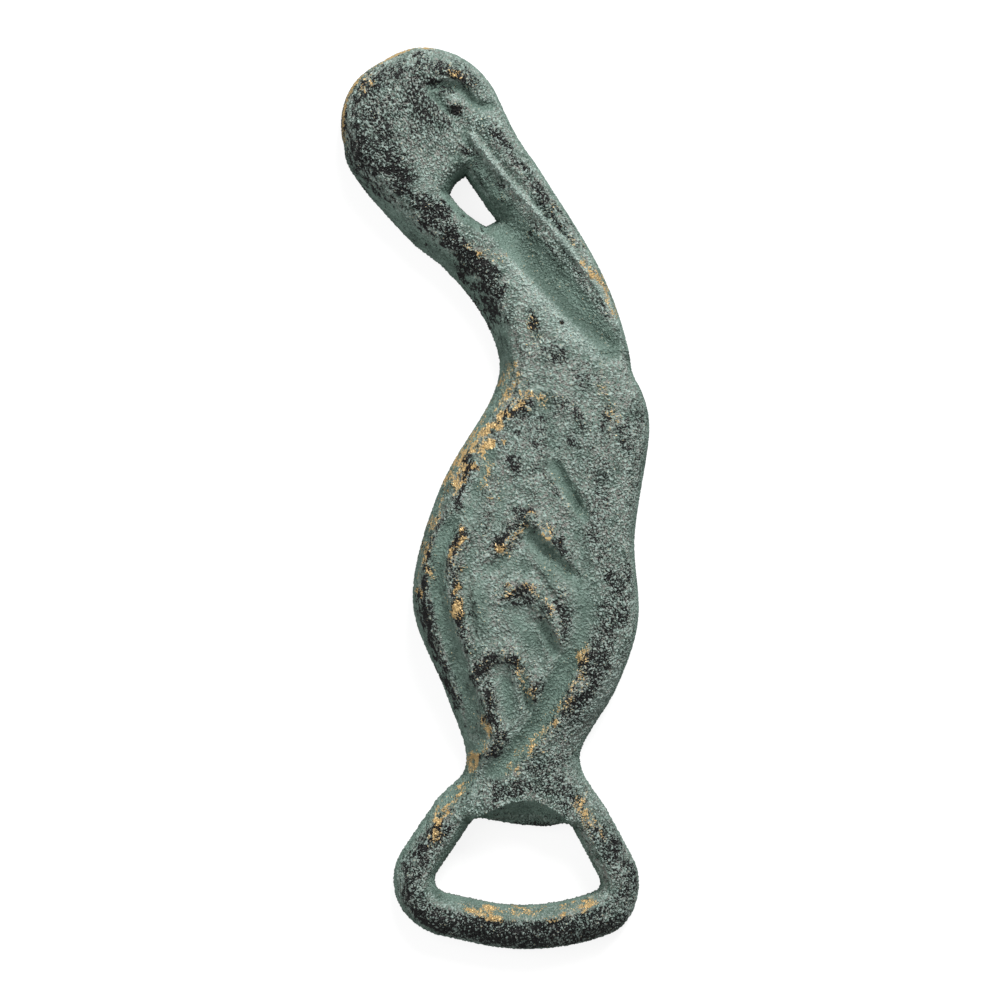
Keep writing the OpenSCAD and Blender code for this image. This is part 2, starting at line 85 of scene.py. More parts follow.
# Share of grain at the foot of the walls, where the paint is even.
FOOT_GRAIN = 0.35


@dataclass(frozen=True)
class CastingSizes:
    """Sizes of the casting in millimetres and degrees, the same as those of the CAD part."""

    mouth_w: float = 33.0
    mouth_top_w: float = 17.6
    mouth_h: float = 13.0
    mouth_sag: float = 3.1
    mouth_skew: float = 3.0
    mouth_round: float = 1.9
    loop_x: float = -1.2
    bar_w: float = 7.3
    base_w: float = 8.0
    loop_lean: float = 0.4
    loop_t: float = 7.6
    tooth_drop: float = 0.9
    tooth_rise: float = 3.6
    tooth_t: float = 2.4
    tail_l: float = 12.0
    tail_w: float = 21.0
    belly_w: float = 41.0
    belly_y: float = 28.0
    body_l: float = 66.0
    shoulder_w: float = 27.2
    shoulder_x: float = 8.4
    body_t: float = 13.5
    neck_w: float = 11.4
    neck_t: float = 10.8
    neck_rise: float = 49.2
    neck_lean: float = 28.2
    nape_out: float = 0.8
    head_d: float = 26.8
    brow_out: float = 2.8
    crown_flat: float = 0.45
    head_t: float = 12.5
    bill_l: float = 52.0
    bill_dip: float = 62.7
    bill_bow: float = 2.2
    bill_dent: float = 0.35
    bill_w: float = 12.2
    bill_tip_w: float = 2.6
    bill_t: float = 9.6
    window_w: float = 4.1
    window_bow: float = 0.6
    window_l: float = 10.0
    window_start: float = 9.4
    crease_end: float = 0.96
    edge_t: float = 1.8
    bill_split: float = 0.54


def mix(a: Array | float, b: Array | float, t: Array | float) -> Array:
    """Blend from a to b: a + (b - a) t."""
    return np.asarray(a, float) + (np.asarray(b, float) - np.asarray(a, float)) * t


def unit(v: Array) -> Array:
    """A vector scaled to length one."""
    return v / np.linalg.norm(v)


def turn(v: Array) -> Array:
    """A plan vector turned a quarter turn to the left."""
    return np.array([-v[1], v[0]])


def bell(t: Array) -> Array:
    """A smooth bump of height one that reaches zero at t = 1: (1 - t^2)^2."""
    return np.clip(1 - t * t, 0, 1) ** 2


def ease(low: Array | float, high: Array | float, value: Array) -> Array:
    """A smooth step from 0 at low to 1 at high: 3 t^2 - 2 t^3."""
    t = np.clip((value - low) / (high - low), 0, 1)
    return t * t * (3 - 2 * t)


def smooth_curve(points: Array | Line, spans: int = 20) -> Array:
    """A centripetal spline through all the points but the first and last, which only steer its ends.

    Args:
        points: Control points, one row each.
        spans: Steps on each stretch between two control points.

    Returns:
        Points along the curve. Each stretch is the cubic whose end slopes follow from the neighbours,
        with distances weighted by their square roots.
    """
    p = np.asarray(points, float)
    a, b, c, d = p[:-3], p[1:-2], p[2:-1], p[3:]
    i, j, k = (np.sqrt(np.linalg.norm(v, axis=1))[:, None] for v in (b - a, c - b, d - c))
    start = j * ((b - a) / i - (c - a) / (i + j) + (c - b) / j)
    end = j * ((c - b) / j - (d - b) / (j + k) + (d - c) / k)
    t = (np.arange(spans) / spans)[None, :, None]
    b, c, start, end = b[:, None], c[:, None], start[:, None], end[:, None]
    body = b + t * start + t**2 * (3 * (c - b) - 2 * start - end) + t**3 * (2 * (b - c) + start + end)
    return np.vstack([body.reshape(-1, p.shape[1]), p[-2:-1]])


def through(points: Array | Line, spans: int = 8) -> Array:
    """A smooth curve through all the points, steered at its ends by their mirror images."""
    p = np.asarray(points, float)
    return smooth_curve(np.vstack([2 * p[:1] - p[1:2], p, 2 * p[-1:] - p[-2:-1]]), spans)


def corner(a: Array, b: Array, c: Array, radius: float, steps: int) -> Array:
    """The arc of the given radius that rounds corner b between a and c."""
    u, v = unit(a - b), unit(c - b)
    half = np.arccos(u @ v) / 2
    middle = b + unit(u + v) * (radius / np.sin(half))
    first = b + u * (radius / np.tan(half)) - middle
    side = 1 if u[0] * v[1] - u[1] * v[0] > 0 else -1
    angle = np.arctan2(first[1], first[0]) - side * (np.pi - 2 * half) * np.arange(steps + 1) / steps
    return middle + radius * np.stack([np.cos(angle), np.sin(angle)], 1)


def straight(a: Array, b: Array, steps: int = 12) -> Array:
    """Evenly spaced points from a to b."""
    return mix(a, b, np.linspace(0, 1, steps + 1)[:, None])


def run_lengths(line: Array) -> Array:
    """Distance of each point of a line from its start, along the line."""
    return np.concatenate([[0.0], np.cumsum(np.linalg.norm(np.diff(line, axis=0), axis=1))])


def stretch(line: Array, low: float, high: float, steps: int) -> Array:
    """Evenly spaced points on the part of a line between two shares of its length."""
    sums = run_lengths(line)
    at = np.linspace(low, high, steps + 1) * sums[-1]
    return np.stack([np.interp(at, sums, line[:, 0]), np.interp(at, sums, line[:, 1])], 1)


def distance_to(points: Array, line: Array) -> Array:
    """Distance of plan points from a line of points.

    Args:
        points: Plan points, one row each.
        line: The line's points.

    Returns:
        For each point the least distance to the line's straight spans, found block by block.
    """
    a, d = line[:-1], np.diff(line, axis=0)
    size = np.maximum((d * d).sum(1), 1e-12)
    out = np.empty(len(points))
    for start in range(0, len(points), BLOCK):
        part = points[start:start + BLOCK]
        x = part[:, :1] - a[:, 0]
        y = part[:, 1:] - a[:, 1]
        t = np.clip((x * d[:, 0] + y * d[:, 1]) / size, 0, 1)
        out[start:start + BLOCK] = ((x - t * d[:, 0])**2 + (y - t * d[:, 1])**2).min(1)
    return np.sqrt(out)


def nearby(points: Array, line: Array, margin: float) -> Array:
    """The run of a line that comes within a margin of the points' box, or nothing if none does."""
    low, high = points.min(0) - margin, points.max(0) + margin
    inside = np.flatnonzero(((line >= low) & (line <= high)).all(1))
    if len(inside) == 0:
        return line[:0]
    return line[max(0, inside[0] - 1):inside[-1] + 2]


def closeness(points: Array, line: Array, margin: float) -> Array:
    """Distance to a line where it is within a margin, and the margin everywhere else."""
    part = nearby(points, line, margin)
    if len(part) < 2:
        return np.full(len(points), margin)
    return np.minimum(distance_to(points, part), margin)


class Zone(Enum):
    """Zones of the casting, named as their CAD nodes are."""

    LOOP = "opener_loop"
    TOOTH = "cap_tooth"
    TAIL = "tail"
    BREAST = "breast"
    WING = "wing"
    NECK = "neck"
    HEAD = "head"
    LOWER_BILL = "lower_bill"
    UPPER_BILL = "upper_bill"


class Plan:
    """Lines of the casting's plan, worked out from its sizes in the same way as the CAD part's."""

    spans: int = 20
    middle: Pair = (-4.942, 46.626)

    def __init__(self, sizes: CastingSizes) -> None:
        """Lay out every line of the plan."""
        self.sizes = sizes
        self._lay_loop()
        self._lay_points()
        self._lay_bill()
        self._lay_sides()
        self._lay_inside()

    def _lay_loop(self) -> None:
        """Mouth: straight sides, rounded corners and a sagging base, carried outward by the bar."""
        s = self.sizes
        self.mouth_tl = np.array([-s.mouth_top_w / 2, -s.tail_l + 0.2])
        self.mouth_tr = np.array([s.mouth_top_w / 2, -s.tail_l - 0.8])
        left = np.array([s.loop_x - s.mouth_w / 2, -s.tail_l - s.mouth_h])
        right = np.array([s.loop_x + s.mouth_w / 2, -s.tail_l - s.mouth_h])
        self.mouth_b = np.array([s.loop_x + s.mouth_skew, -s.tail_l - s.mouth_h - s.mouth_sag - 1.2])
        self.mouth_bl, self.mouth_br = left, right
        arc_l = corner(self.mouth_tl, left, self.mouth_b, 2.5, 24)
        arc_b = corner(left, self.mouth_b, right, 36, 40)
        arc_r = corner(self.mouth_b, right, self.mouth_tr, 2, 24)
        tip_l = mix(self.mouth_tl, self.mouth_tr, 0.47) - [0, s.tooth_drop]
        tip_r = mix(self.mouth_tl, self.mouth_tr, 0.75) - [0, s.tooth_drop]
        arc_tl = corner(left, self.mouth_tl, tip_l, s.mouth_round, 16)
        arc_tr = corner(tip_r, self.mouth_tr, right, s.mouth_round, 16)
        bend = smooth_curve(np.vstack([arc_tl[-2:], tip_l, tip_r, arc_tr[:2]]), 12)
        self.tooth_line = np.vstack([arc_tl[:-1], bend, arc_tr[1:]])
        self.mouth_rim = np.vstack([
            straight(arc_tl[0], arc_l[0], 24)[:-1], arc_l, arc_b, arc_r,
            straight(arc_r[-1], arc_tr[-1], 24)[1:]])
        way = np.gradient(self.mouth_rim, axis=0)
        way /= np.linalg.norm(way, axis=1)[:, None]
        out = np.stack([way[:, 1], -way[:, 0]], 1)
        down = np.maximum(0, -out[:, 1:])
        wide = mix(s.bar_w, s.base_w, down**2) + s.loop_lean * (3 * down**3 - 0.6) * out[:, :1]
        self.loop_out = self.mouth_rim + out * wide

    def _lay_points(self) -> None:
        """Key points of the tail, the body, the neck and the head."""
        s = self.sizes
        self.waist_l = np.array([0.2 - s.tail_w / 2, 0.0])
        self.waist_r = np.array([0.2 + s.tail_w / 2, 0.0])
        self.hip_l = np.array([self.waist_l[0] - 0.5, -s.tail_l * 0.3])
        self.hip_r = np.array([self.waist_r[0] + 0.5, -s.tail_l * 0.3])
        self.belly_l = np.array([0.5 - s.belly_w / 2, s.belly_y - 0.5])
        self.belly_r = np.array([0.7 + s.belly_w / 2, s.belly_y - 4])
        self.thigh_l = np.array([mix(self.waist_l[0], self.belly_l[0], 0.4), s.belly_y * 0.41])
        self.thigh_r = np.array([mix(self.waist_r[0], self.belly_r[0], 0.63), s.belly_y * 0.43])
        self.shoulder_l = np.array([s.shoulder_x - s.shoulder_w / 2, s.body_l])
        self.shoulder_r = np.array([s.shoulder_x + s.shoulder_w / 2, s.body_l])
        self.back_l = np.array([
            mix(self.belly_l[0], self.shoulder_l[0], 0.33), mix(self.belly_l[1], s.body_l, 0.54)])
        self.chest_r = self.shoulder_r + [1.3, -5.5]
        self.dip_r = mix(self.belly_r, self.chest_r, 0.42) - [1.5, 0]
        self.head_c = np.array([s.shoulder_x - s.neck_lean, s.body_l + s.neck_rise])

    def head_at(self, degrees: Array | float) -> Array:
        """Points of the head's outline: an arc that is flatter at the crown and swells to the bill."""
        s = self.sizes
        a = np.atleast_1d(np.asarray(degrees, float))
        radius = s.head_d / 2 + s.brow_out * np.clip((116 - a) / 100, 0, 1)**1.1
        radius -= s.crown_flat * bell((a - 118) / 32)
        way = np.stack([np.cos(np.radians(a)), np.sin(np.radians(a))], 1)
        return self.head_c + radius[:, None] * way

    def _lay_bill(self) -> None:
        """Bill, window and the neck's points beside the window."""
        s = self.sizes
        dip = np.radians(s.bill_dip)
        self.bill_root = self.head_at(16)[0]
        self.bill_way = np.array([np.cos(dip), -np.sin(dip)])
        self.bill_side = turn(self.bill_way)
        self.window_from = s.window_start / s.bill_l
        self.window_to = (s.window_start + s.window_l) / s.bill_l
        self.window_tr = self.bill_in(self.window_from)[0]
        self.window_tl = self.window_tr - self.bill_side * s.window_w + self.bill_way * 1.7
        self.window_br = self.bill_in(self.window_to)[0]
        self.window_bl = self.window_br - self.bill_side * s.window_w * 0.55
        across = turn(unit(self.window_bl - self.window_tl))
        self.neck_top = self.window_tl - across * (s.neck_w - 0.3)
        self.neck_low = self.window_bl - across * (s.neck_w - 0.6)
        self.throat = self.shoulder_l + [1.1, 5.4]
        self.elbow = mix(self.throat, self.neck_low, 0.52) + [2.2, -0.6]
        bow = np.sin(np.pi * np.linspace(0, 1, 25))[:, None] * s.window_bow
        self.jamb = straight(self.window_bl, self.window_tl, 24) - across * bow

    def _bill_line(self, t: Array) -> Array:
        """The bill's course: a straight line with a sine bow, at shares of its length."""
        s = self.sizes
        return (self.bill_root + self.bill_way * s.bill_l * t
                + self.bill_side * s.bill_bow * np.sin(np.pi * t**1.75))

    def bill_out(self, share: Array | float) -> Array:
        """Outer edge of the bill: its course with a small dent below the brow."""
        t = np.atleast_1d(np.asarray(share, float))[:, None]
        return self._bill_line(t) - self.bill_side * self.sizes.bill_dent * bell((t - 0.14) / 0.14)

    def bill_in(self, share: Array | float) -> Array:
        """Inner edge of the bill: its course moved in by a width that shrinks toward the tip."""
        s = self.sizes
        t = np.atleast_1d(np.asarray(share, float))[:, None]
        down = np.maximum(0, (t - self.window_from) / (1 - self.window_from))
        width = s.bill_w - (s.bill_w - s.bill_tip_w) * down**2
        return self._bill_line(t) - self.bill_side * width

    def along_bill(self, start: float, share: float, more: float) -> Array:
        """A line down the bill at a share of its width that grows by more from root to tip."""
        t = np.linspace(start, 0.94, 41)
        return mix(self.bill_in(t), self.bill_out(t), (share + more * t)[:, None])

    def pivot(self, share: Array) -> Array:
        """The window's rounded top, from left to right, round which the head is swept."""
        t = share[:, None]
        return mix(self.window_tl, self.window_tr, t) - self.bill_way * 0.5 * np.sin(np.pi * t)

    def _lay_sides(self) -> None:
        """Left and right outlines, and the closed outline of the whole plan."""
        n = self.spans
        steer_l = mix(self.loop_out[0], self.loop_out[24], 0.66)
        steer_r = mix(self.loop_out[-1], self.loop_out[-25], 0.66)
        left = smooth_curve(np.vstack([
            steer_l, self.loop_out[0], self.hip_l, self.waist_l, self.thigh_l, self.belly_l, self.back_l,
            self.shoulder_l, self.throat, self.elbow, self.neck_low, self.neck_top,
            self.head_at(212) + unit(self.head_at(212) - self.head_c) * self.sizes.nape_out,
            self.head_at([196, 180])]), n)
        tip = self.bill_out([0.9, 1.0])
        right = smooth_curve(np.vstack([
            tip, mix(tip[1], self.shoulder_r, 0.5) - [0.6, 0], self.shoulder_r, self.chest_r, self.dip_r,
            self.belly_r, self.thigh_r, self.waist_r, self.hip_r, self.loop_out[-1], steer_r]), n)
        self.tail_left = left[:2 * n + 1]
        self.flank_left = left[2 * n:6 * n + 1]
        self.neck_left = left[6 * n:9 * n + 1]
        self.nape = left[9 * n:10 * n + 1]
        self.jowl = left[10 * n:11 * n + 1]
        self.skull_low = left[11 * n:12 * n + 1]
        self.skull_arc = self.head_at(np.linspace(196, 16, 121))
        self.notch = right[:2 * n + 1][::-1]
        self.flank_right = right[2 * n:7 * n + 1][::-1]
        self.tail_right = right[7 * n:9 * n + 1]
        self.outline = np.vstack([
            left, self.skull_arc[1:], self.bill_out(np.linspace(0, 1, 61))[1:], right[1:],
            self.loop_out[::-1]])

    def _lay_inside(self) -> None:
        """Lines inside the plan: window, crease, bill ridge, wing edge and the tooth's two edges."""
        s = self.sizes
        self.crease = self.bill_in(np.linspace(self.window_to, s.crease_end, 37))
        self.window = np.vstack([
            self.jamb, self.pivot(np.linspace(0, 1, 21))[1:], self.window_br, self.window_bl])
        self.ridge = self.along_bill(0.08, 0.33, 0.56)
        t = np.linspace(0, 1, 401)
        self.body_left = stretch(self.flank_left, 0, 1, 400)
        self.body_right = stretch(self.flank_right, 0, 1, 400)
        reach = mix(0.3, 0.79, np.sin(np.pi * t**0.85))[:, None]
        self.wing_line = mix(self.body_left, self.body_right, reach)
        self.wing_edge = self.wing_line[::8]

    def tooth_brow(self, share: Array) -> Array:
        """Front edge of the tooth's ramp: a sine arch over the mouth's upper corners."""
        lift = 0.5 + self.sizes.tooth_rise * np.sin(np.pi * share**1.2)
        return mix(self.mouth_tl, self.mouth_tr, share[:, None]) + np.stack([0 * share, lift], 1)

    def sections(self, zone: Zone) -> list[tuple[Array, Array]]:
        """Matching stretches of a zone's two rails, in order. The second rail is on the first one's left."""
        n = 24
        t = np.linspace(0, 1, n + 1)
        if zone is Zone.LOOP:
            return [(self.loop_out, self.mouth_rim)]
        if zone is Zone.TOOTH:
            long = np.linspace(0, 1, 97)
            return [(stretch(self.tooth_line, 0, 1, 96), self.tooth_brow(long))]
        if zone is Zone.TAIL:
            ends = self.tooth_brow(np.array([0.0, 1.0]))
            return [
                (straight(self.mouth_rim[0], ends[0], n), stretch(self.tail_left, 0, 0.25, n)),
                (self.tooth_brow(0.25 * t), stretch(self.tail_left, 0.25, 1, n)),
                (self.tooth_brow(0.25 + 0.5 * t), straight(self.waist_l, self.waist_r, n)),
                (self.tooth_brow(0.75 + 0.25 * t), stretch(self.tail_right, 0, 0.75, n)),
                (straight(ends[1], self.mouth_rim[-1], n), stretch(self.tail_right, 0.75, 1, n))]
        if zone is Zone.BREAST:
            return [(self.body_right, self.wing_line)]
        if zone is Zone.WING:
            return [(self.wing_line, self.body_left)]
        if zone is Zone.NECK:
            low = self.neck_left
            return [
                (stretch(self.notch, 0, 1, n), stretch(low, 0, 5 / 27, n)),
                (straight(self.notch[-1], self.crease[-1], n), stretch(low, 5 / 27, 7 / 27, n)),
                (stretch(self.crease[::-1], 0, 1, 60), stretch(low, 7 / 27, 25 / 27, 60)),
                (straight(self.window_br, self.window_bl, n), stretch(low, 25 / 27, 1, n)),
                (self.jamb, stretch(self.nape, 0, 1, n)),
                (self.pivot(t * 5 / 33), stretch(self.jowl, 0, 1, n))]
        if zone is Zone.HEAD:
            long = np.linspace(0, 1, 121)
            return [
                (self.pivot((5 + 5 * t) / 33), stretch(self.skull_low, 0, 1, n)),
                (self.pivot((10 + 18 * long) / 33), self.skull_arc)]
        share = self.sizes.bill_split
        outer = np.vstack([
            self.bill_out(t * self.window_from),
            self.bill_out(mix(self.window_from, self.window_to, t))[1:],
            self.bill_out(np.linspace(self.window_to, 1, 61))[1:]])
        inner = np.vstack([
            self.pivot((28 + 5 * t) / 33), straight(self.window_tr, self.window_br, n)[1:],
            self.bill_in(np.linspace(self.window_to, self.sizes.crease_end, 61))[1:]])
        half = mix(inner, outer, share)
        return [(inner, half)] if zone is Zone.LOWER_BILL else [(half, outer)]


@dataclass(frozen=True)
class Viewpoint:
    """The straight-down view in which the relief was drawn."""

    x: float = -4.05
    y: float = 46.4
    away: float = 700.0
    front: float = 11.5

    def onto_front(self, line: Array) -> Array:
        """Plan points of a line drawn as seen: moved toward the view's middle by the front's nearness."""
        middle = np.array([self.x, self.y])
        return middle + (line - middle) * (1 - self.front / self.away)


@dataclass(frozen=True)
class Stroke:
    """A soft line laid over the front: its points, its half-width in millimetres and its strength."""

    points: Line
    half: float
    strength: float

    def lay(self, where: Array, view: Viewpoint) -> Array:
        """Lay the stroke over plan points.

        Args:
            where: Plan points in millimetres, one row each.
            view: The view in which the stroke was drawn.

        Returns:
            Strength times the highest of the bells that stand along the stroke's smooth line, which fade
            out within one half-width of its ends.
        """
        half = self.half
        line = view.onto_front(through(self.points))
        length = run_lengths(line)[-1]
        line = stretch(line, 0, 1, max(2, int(length / STROKE_STEP)))
        run = np.linspace(0, length, len(line))
        fade = ease(-0.6 * half, half, np.minimum(run, length - run))
        out = np.zeros(len(where))
        near = np.flatnonzero(((where > line.min(0) - half) & (where < line.max(0) + half)).all(1))
        for start in range(0, len(near), BLOCK):
            part = near[start:start + BLOCK]
            gap = ((where[part, None] - line[None])**2).sum(2) / half**2
            out[part] = (fade * np.clip(1 - gap, 0, 1)**2).max(1)
        return self.strength * out


def stroke_rows(*rows: tuple[float | Pair, ...]) -> list[Stroke]:
    """Strokes from rows of a half-width, a strength and the points, as they are seen from the front."""
    return [Stroke(points, half, strength) for half, strength, *points in rows]


# Feathers raised on the wing and the tail, as in the CAD part.
FEATHERS = stroke_rows(
    (2.4, 1.2, (-9, 41.5), (-12, 37), (-13, 31), (-12, 25), (-9, 18)),
    (2.4, 0.72, (-13, 46), (-16, 40), (-18, 33), (-18, 27), (-15.5, 18), (-12, 8.5)),
    (2.6, 1.2, (-4.5, 35.5), (-2, 40), (0.5, 43), (3, 42), (6, 37.5), (9, 33)),
    (2.6, 1.2, (-5, 28), (-0.5, 30.5), (2.5, 28), (5.5, 24.5), (7.5, 20)),
    (2.2, 0.6, (-8.5, 30), (-7.5, 26), (-7, 21.5)),
    (2.5, 1.2, (-8.5, 13), (-6, 17.5), (-3, 18.5), (-0.5, 15), (2, 9.5)),
    (2.4, 1.08, (-6.5, 12), (-5, 6), (-4.5, 2), (-7, -0.5), (-10, -3.5)),
    (2.6, 0.72, (12.5, 20), (11, 14), (8, 8), (4, 2), (-1, -3.5)),
    (2.2, 0.6, (3.5, 35.5), (7, 30.5), (10, 26)),
    (2.6, 0.72, (-3, 62.5), (0.5, 64.5), (5, 65.5), (9, 63.5), (12, 58)),
    (2.5, 0.6, (3.5, 54), (7, 48), (9.5, 43)),
    (2.2, 0.6, (-6.5, 53), (-4, 48)),
    (2.4, 0.48, (-2, 57), (1.5, 51), (2.5, 46.5)),
    (2.2, 0.6, (-7, 50), (-6, 44), (-7.5, 38)))

# Grooves between the feathers, as in the CAD part.
GROOVES = stroke_rows(
    (2.4, -1.28, (5.5, 54), (8.5, 48.5), (12, 42.5)),
    (2.3, -1.28, (0.5, 41), (5, 36.5), (10, 31.5)),
    (2.2, -0.8, (-7.5, 33), (-4.5, 34.5), (-2, 37.5)),
    (2.3, -1.12, (3, 24.5), (5, 21), (6.5, 17)),
    (2.2, -0.96, (-0.5, 15), (1, 10.5), (2, 6.5)),
    (2.2, -0.64, (-0.5, 27), (2, 22), (4, 16)),
    (2.6, -0.96, (-3.5, 15), (-2.5, 10), (-2, 5)),
    (2.5, -1.44, (-12, 43.5), (-15, 37.5), (-15.5, 31), (-14, 24), (-11.5, 15.5), (-9, 7), (-9, 1)),
    (1.8, -0.64, (-8, 39), (-10, 34), (-10, 28), (-8.5, 22)),
    (3.4, -1.6, (9.5, 19), (6, 11), (3, 5), (-1, 0), (-6, -4.5)),
    (2.2, -0.8, (-5.5, 57), (-7, 51), (-9.5, 46)),
    (2.2, -0.64, (-2.5, 50.5), (-4, 45), (-5, 40)))

# Brow, eye and the hollows round them, as in the CAD part.
FACE = stroke_rows(
    (2.2, 0.78, (-19.3, 125.7), (-14.3, 125.7), (-9.8, 123.7), (-6.8, 121.2)),
    (1.7, 1.4, (-12.8, 119.7), (-11.8, 119.2)),
    (1.6, -1.3, (-17.8, 122.2), (-14.3, 122.7), (-10.8, 122.2), (-8.8, 119.7), (-6.8, 119.2),
     (-4.8, 119.2)),
    (1.5, -0.91, (-17.8, 121.7), (-15.8, 120.7), (-14.3, 118.7), (-12.8, 117.2)),
    (1.8, -0.78, (-10.8, 115.7), (-10.3, 113.2), (-8.8, 110.7)),
    (3.2, -0.91, (-13.8, 108.2), (-10.3, 110.2)))

# Fine lines of the wing, the neck's band and crease, and two pinholes.
NICKS = stroke_rows(
    (1.3, -0.6, (6.3, 53.5), (8.5, 49), (11, 44.2)),
    (1.3, -0.6, (4, 38), (8, 34.3), (11.2, 31.2)),
    (1.2, -0.5, (4.3, 23), (6, 20), (7.2, 17.6)),
    (1.2, -0.5, (0.2, 12), (0.8, 9), (2, 6.3)),
    (1.0, -0.35, (-9.3, 27), (-8.8, 20.5)),
    (1.0, -0.4, (-2.4, 50.5), (-1, 48)),
    (1.0, 0.4, (3, 42.3), (5, 38.7), (6.5, 36.3)),
    (1.0, 0.4, (2, 35.5), (4.5, 32.3), (7, 29)),
    (1.0, 0.4, (3, 28.5), (4.8, 25.5), (5.8, 22.5)),
    (1.0, 0.35, (-1.5, 19), (0.2, 16), (1.5, 13.5)),
    (2.0, 0.4, (-2.5, 92), (1.5, 86.5), (5.5, 81.5), (11, 76.8), (17, 72.8)),
    (1.7, -0.4, (0.5, 93), (4.5, 86.5), (8.5, 81.5), (13.5, 77), (17.5, 74.5)),
    (0.7, -0.9, (7.2, 79.2), (7.5, 79.1)),
    (0.6, -0.6, (-24.8, 112.1), (-24.5, 112)))


@dataclass(frozen=True)
class Form:
    """What the relief says at plan points.

    These are the height, the distances from free edges and from the mouth, how plain the wall is, and the
    strengths of crests, of hollows and of the bill's ridge.
    """

    height: Array
    rim: Array
    mouth: Array
    wall: Array
    crest: Array
    hollow: Array
    ridge: Array


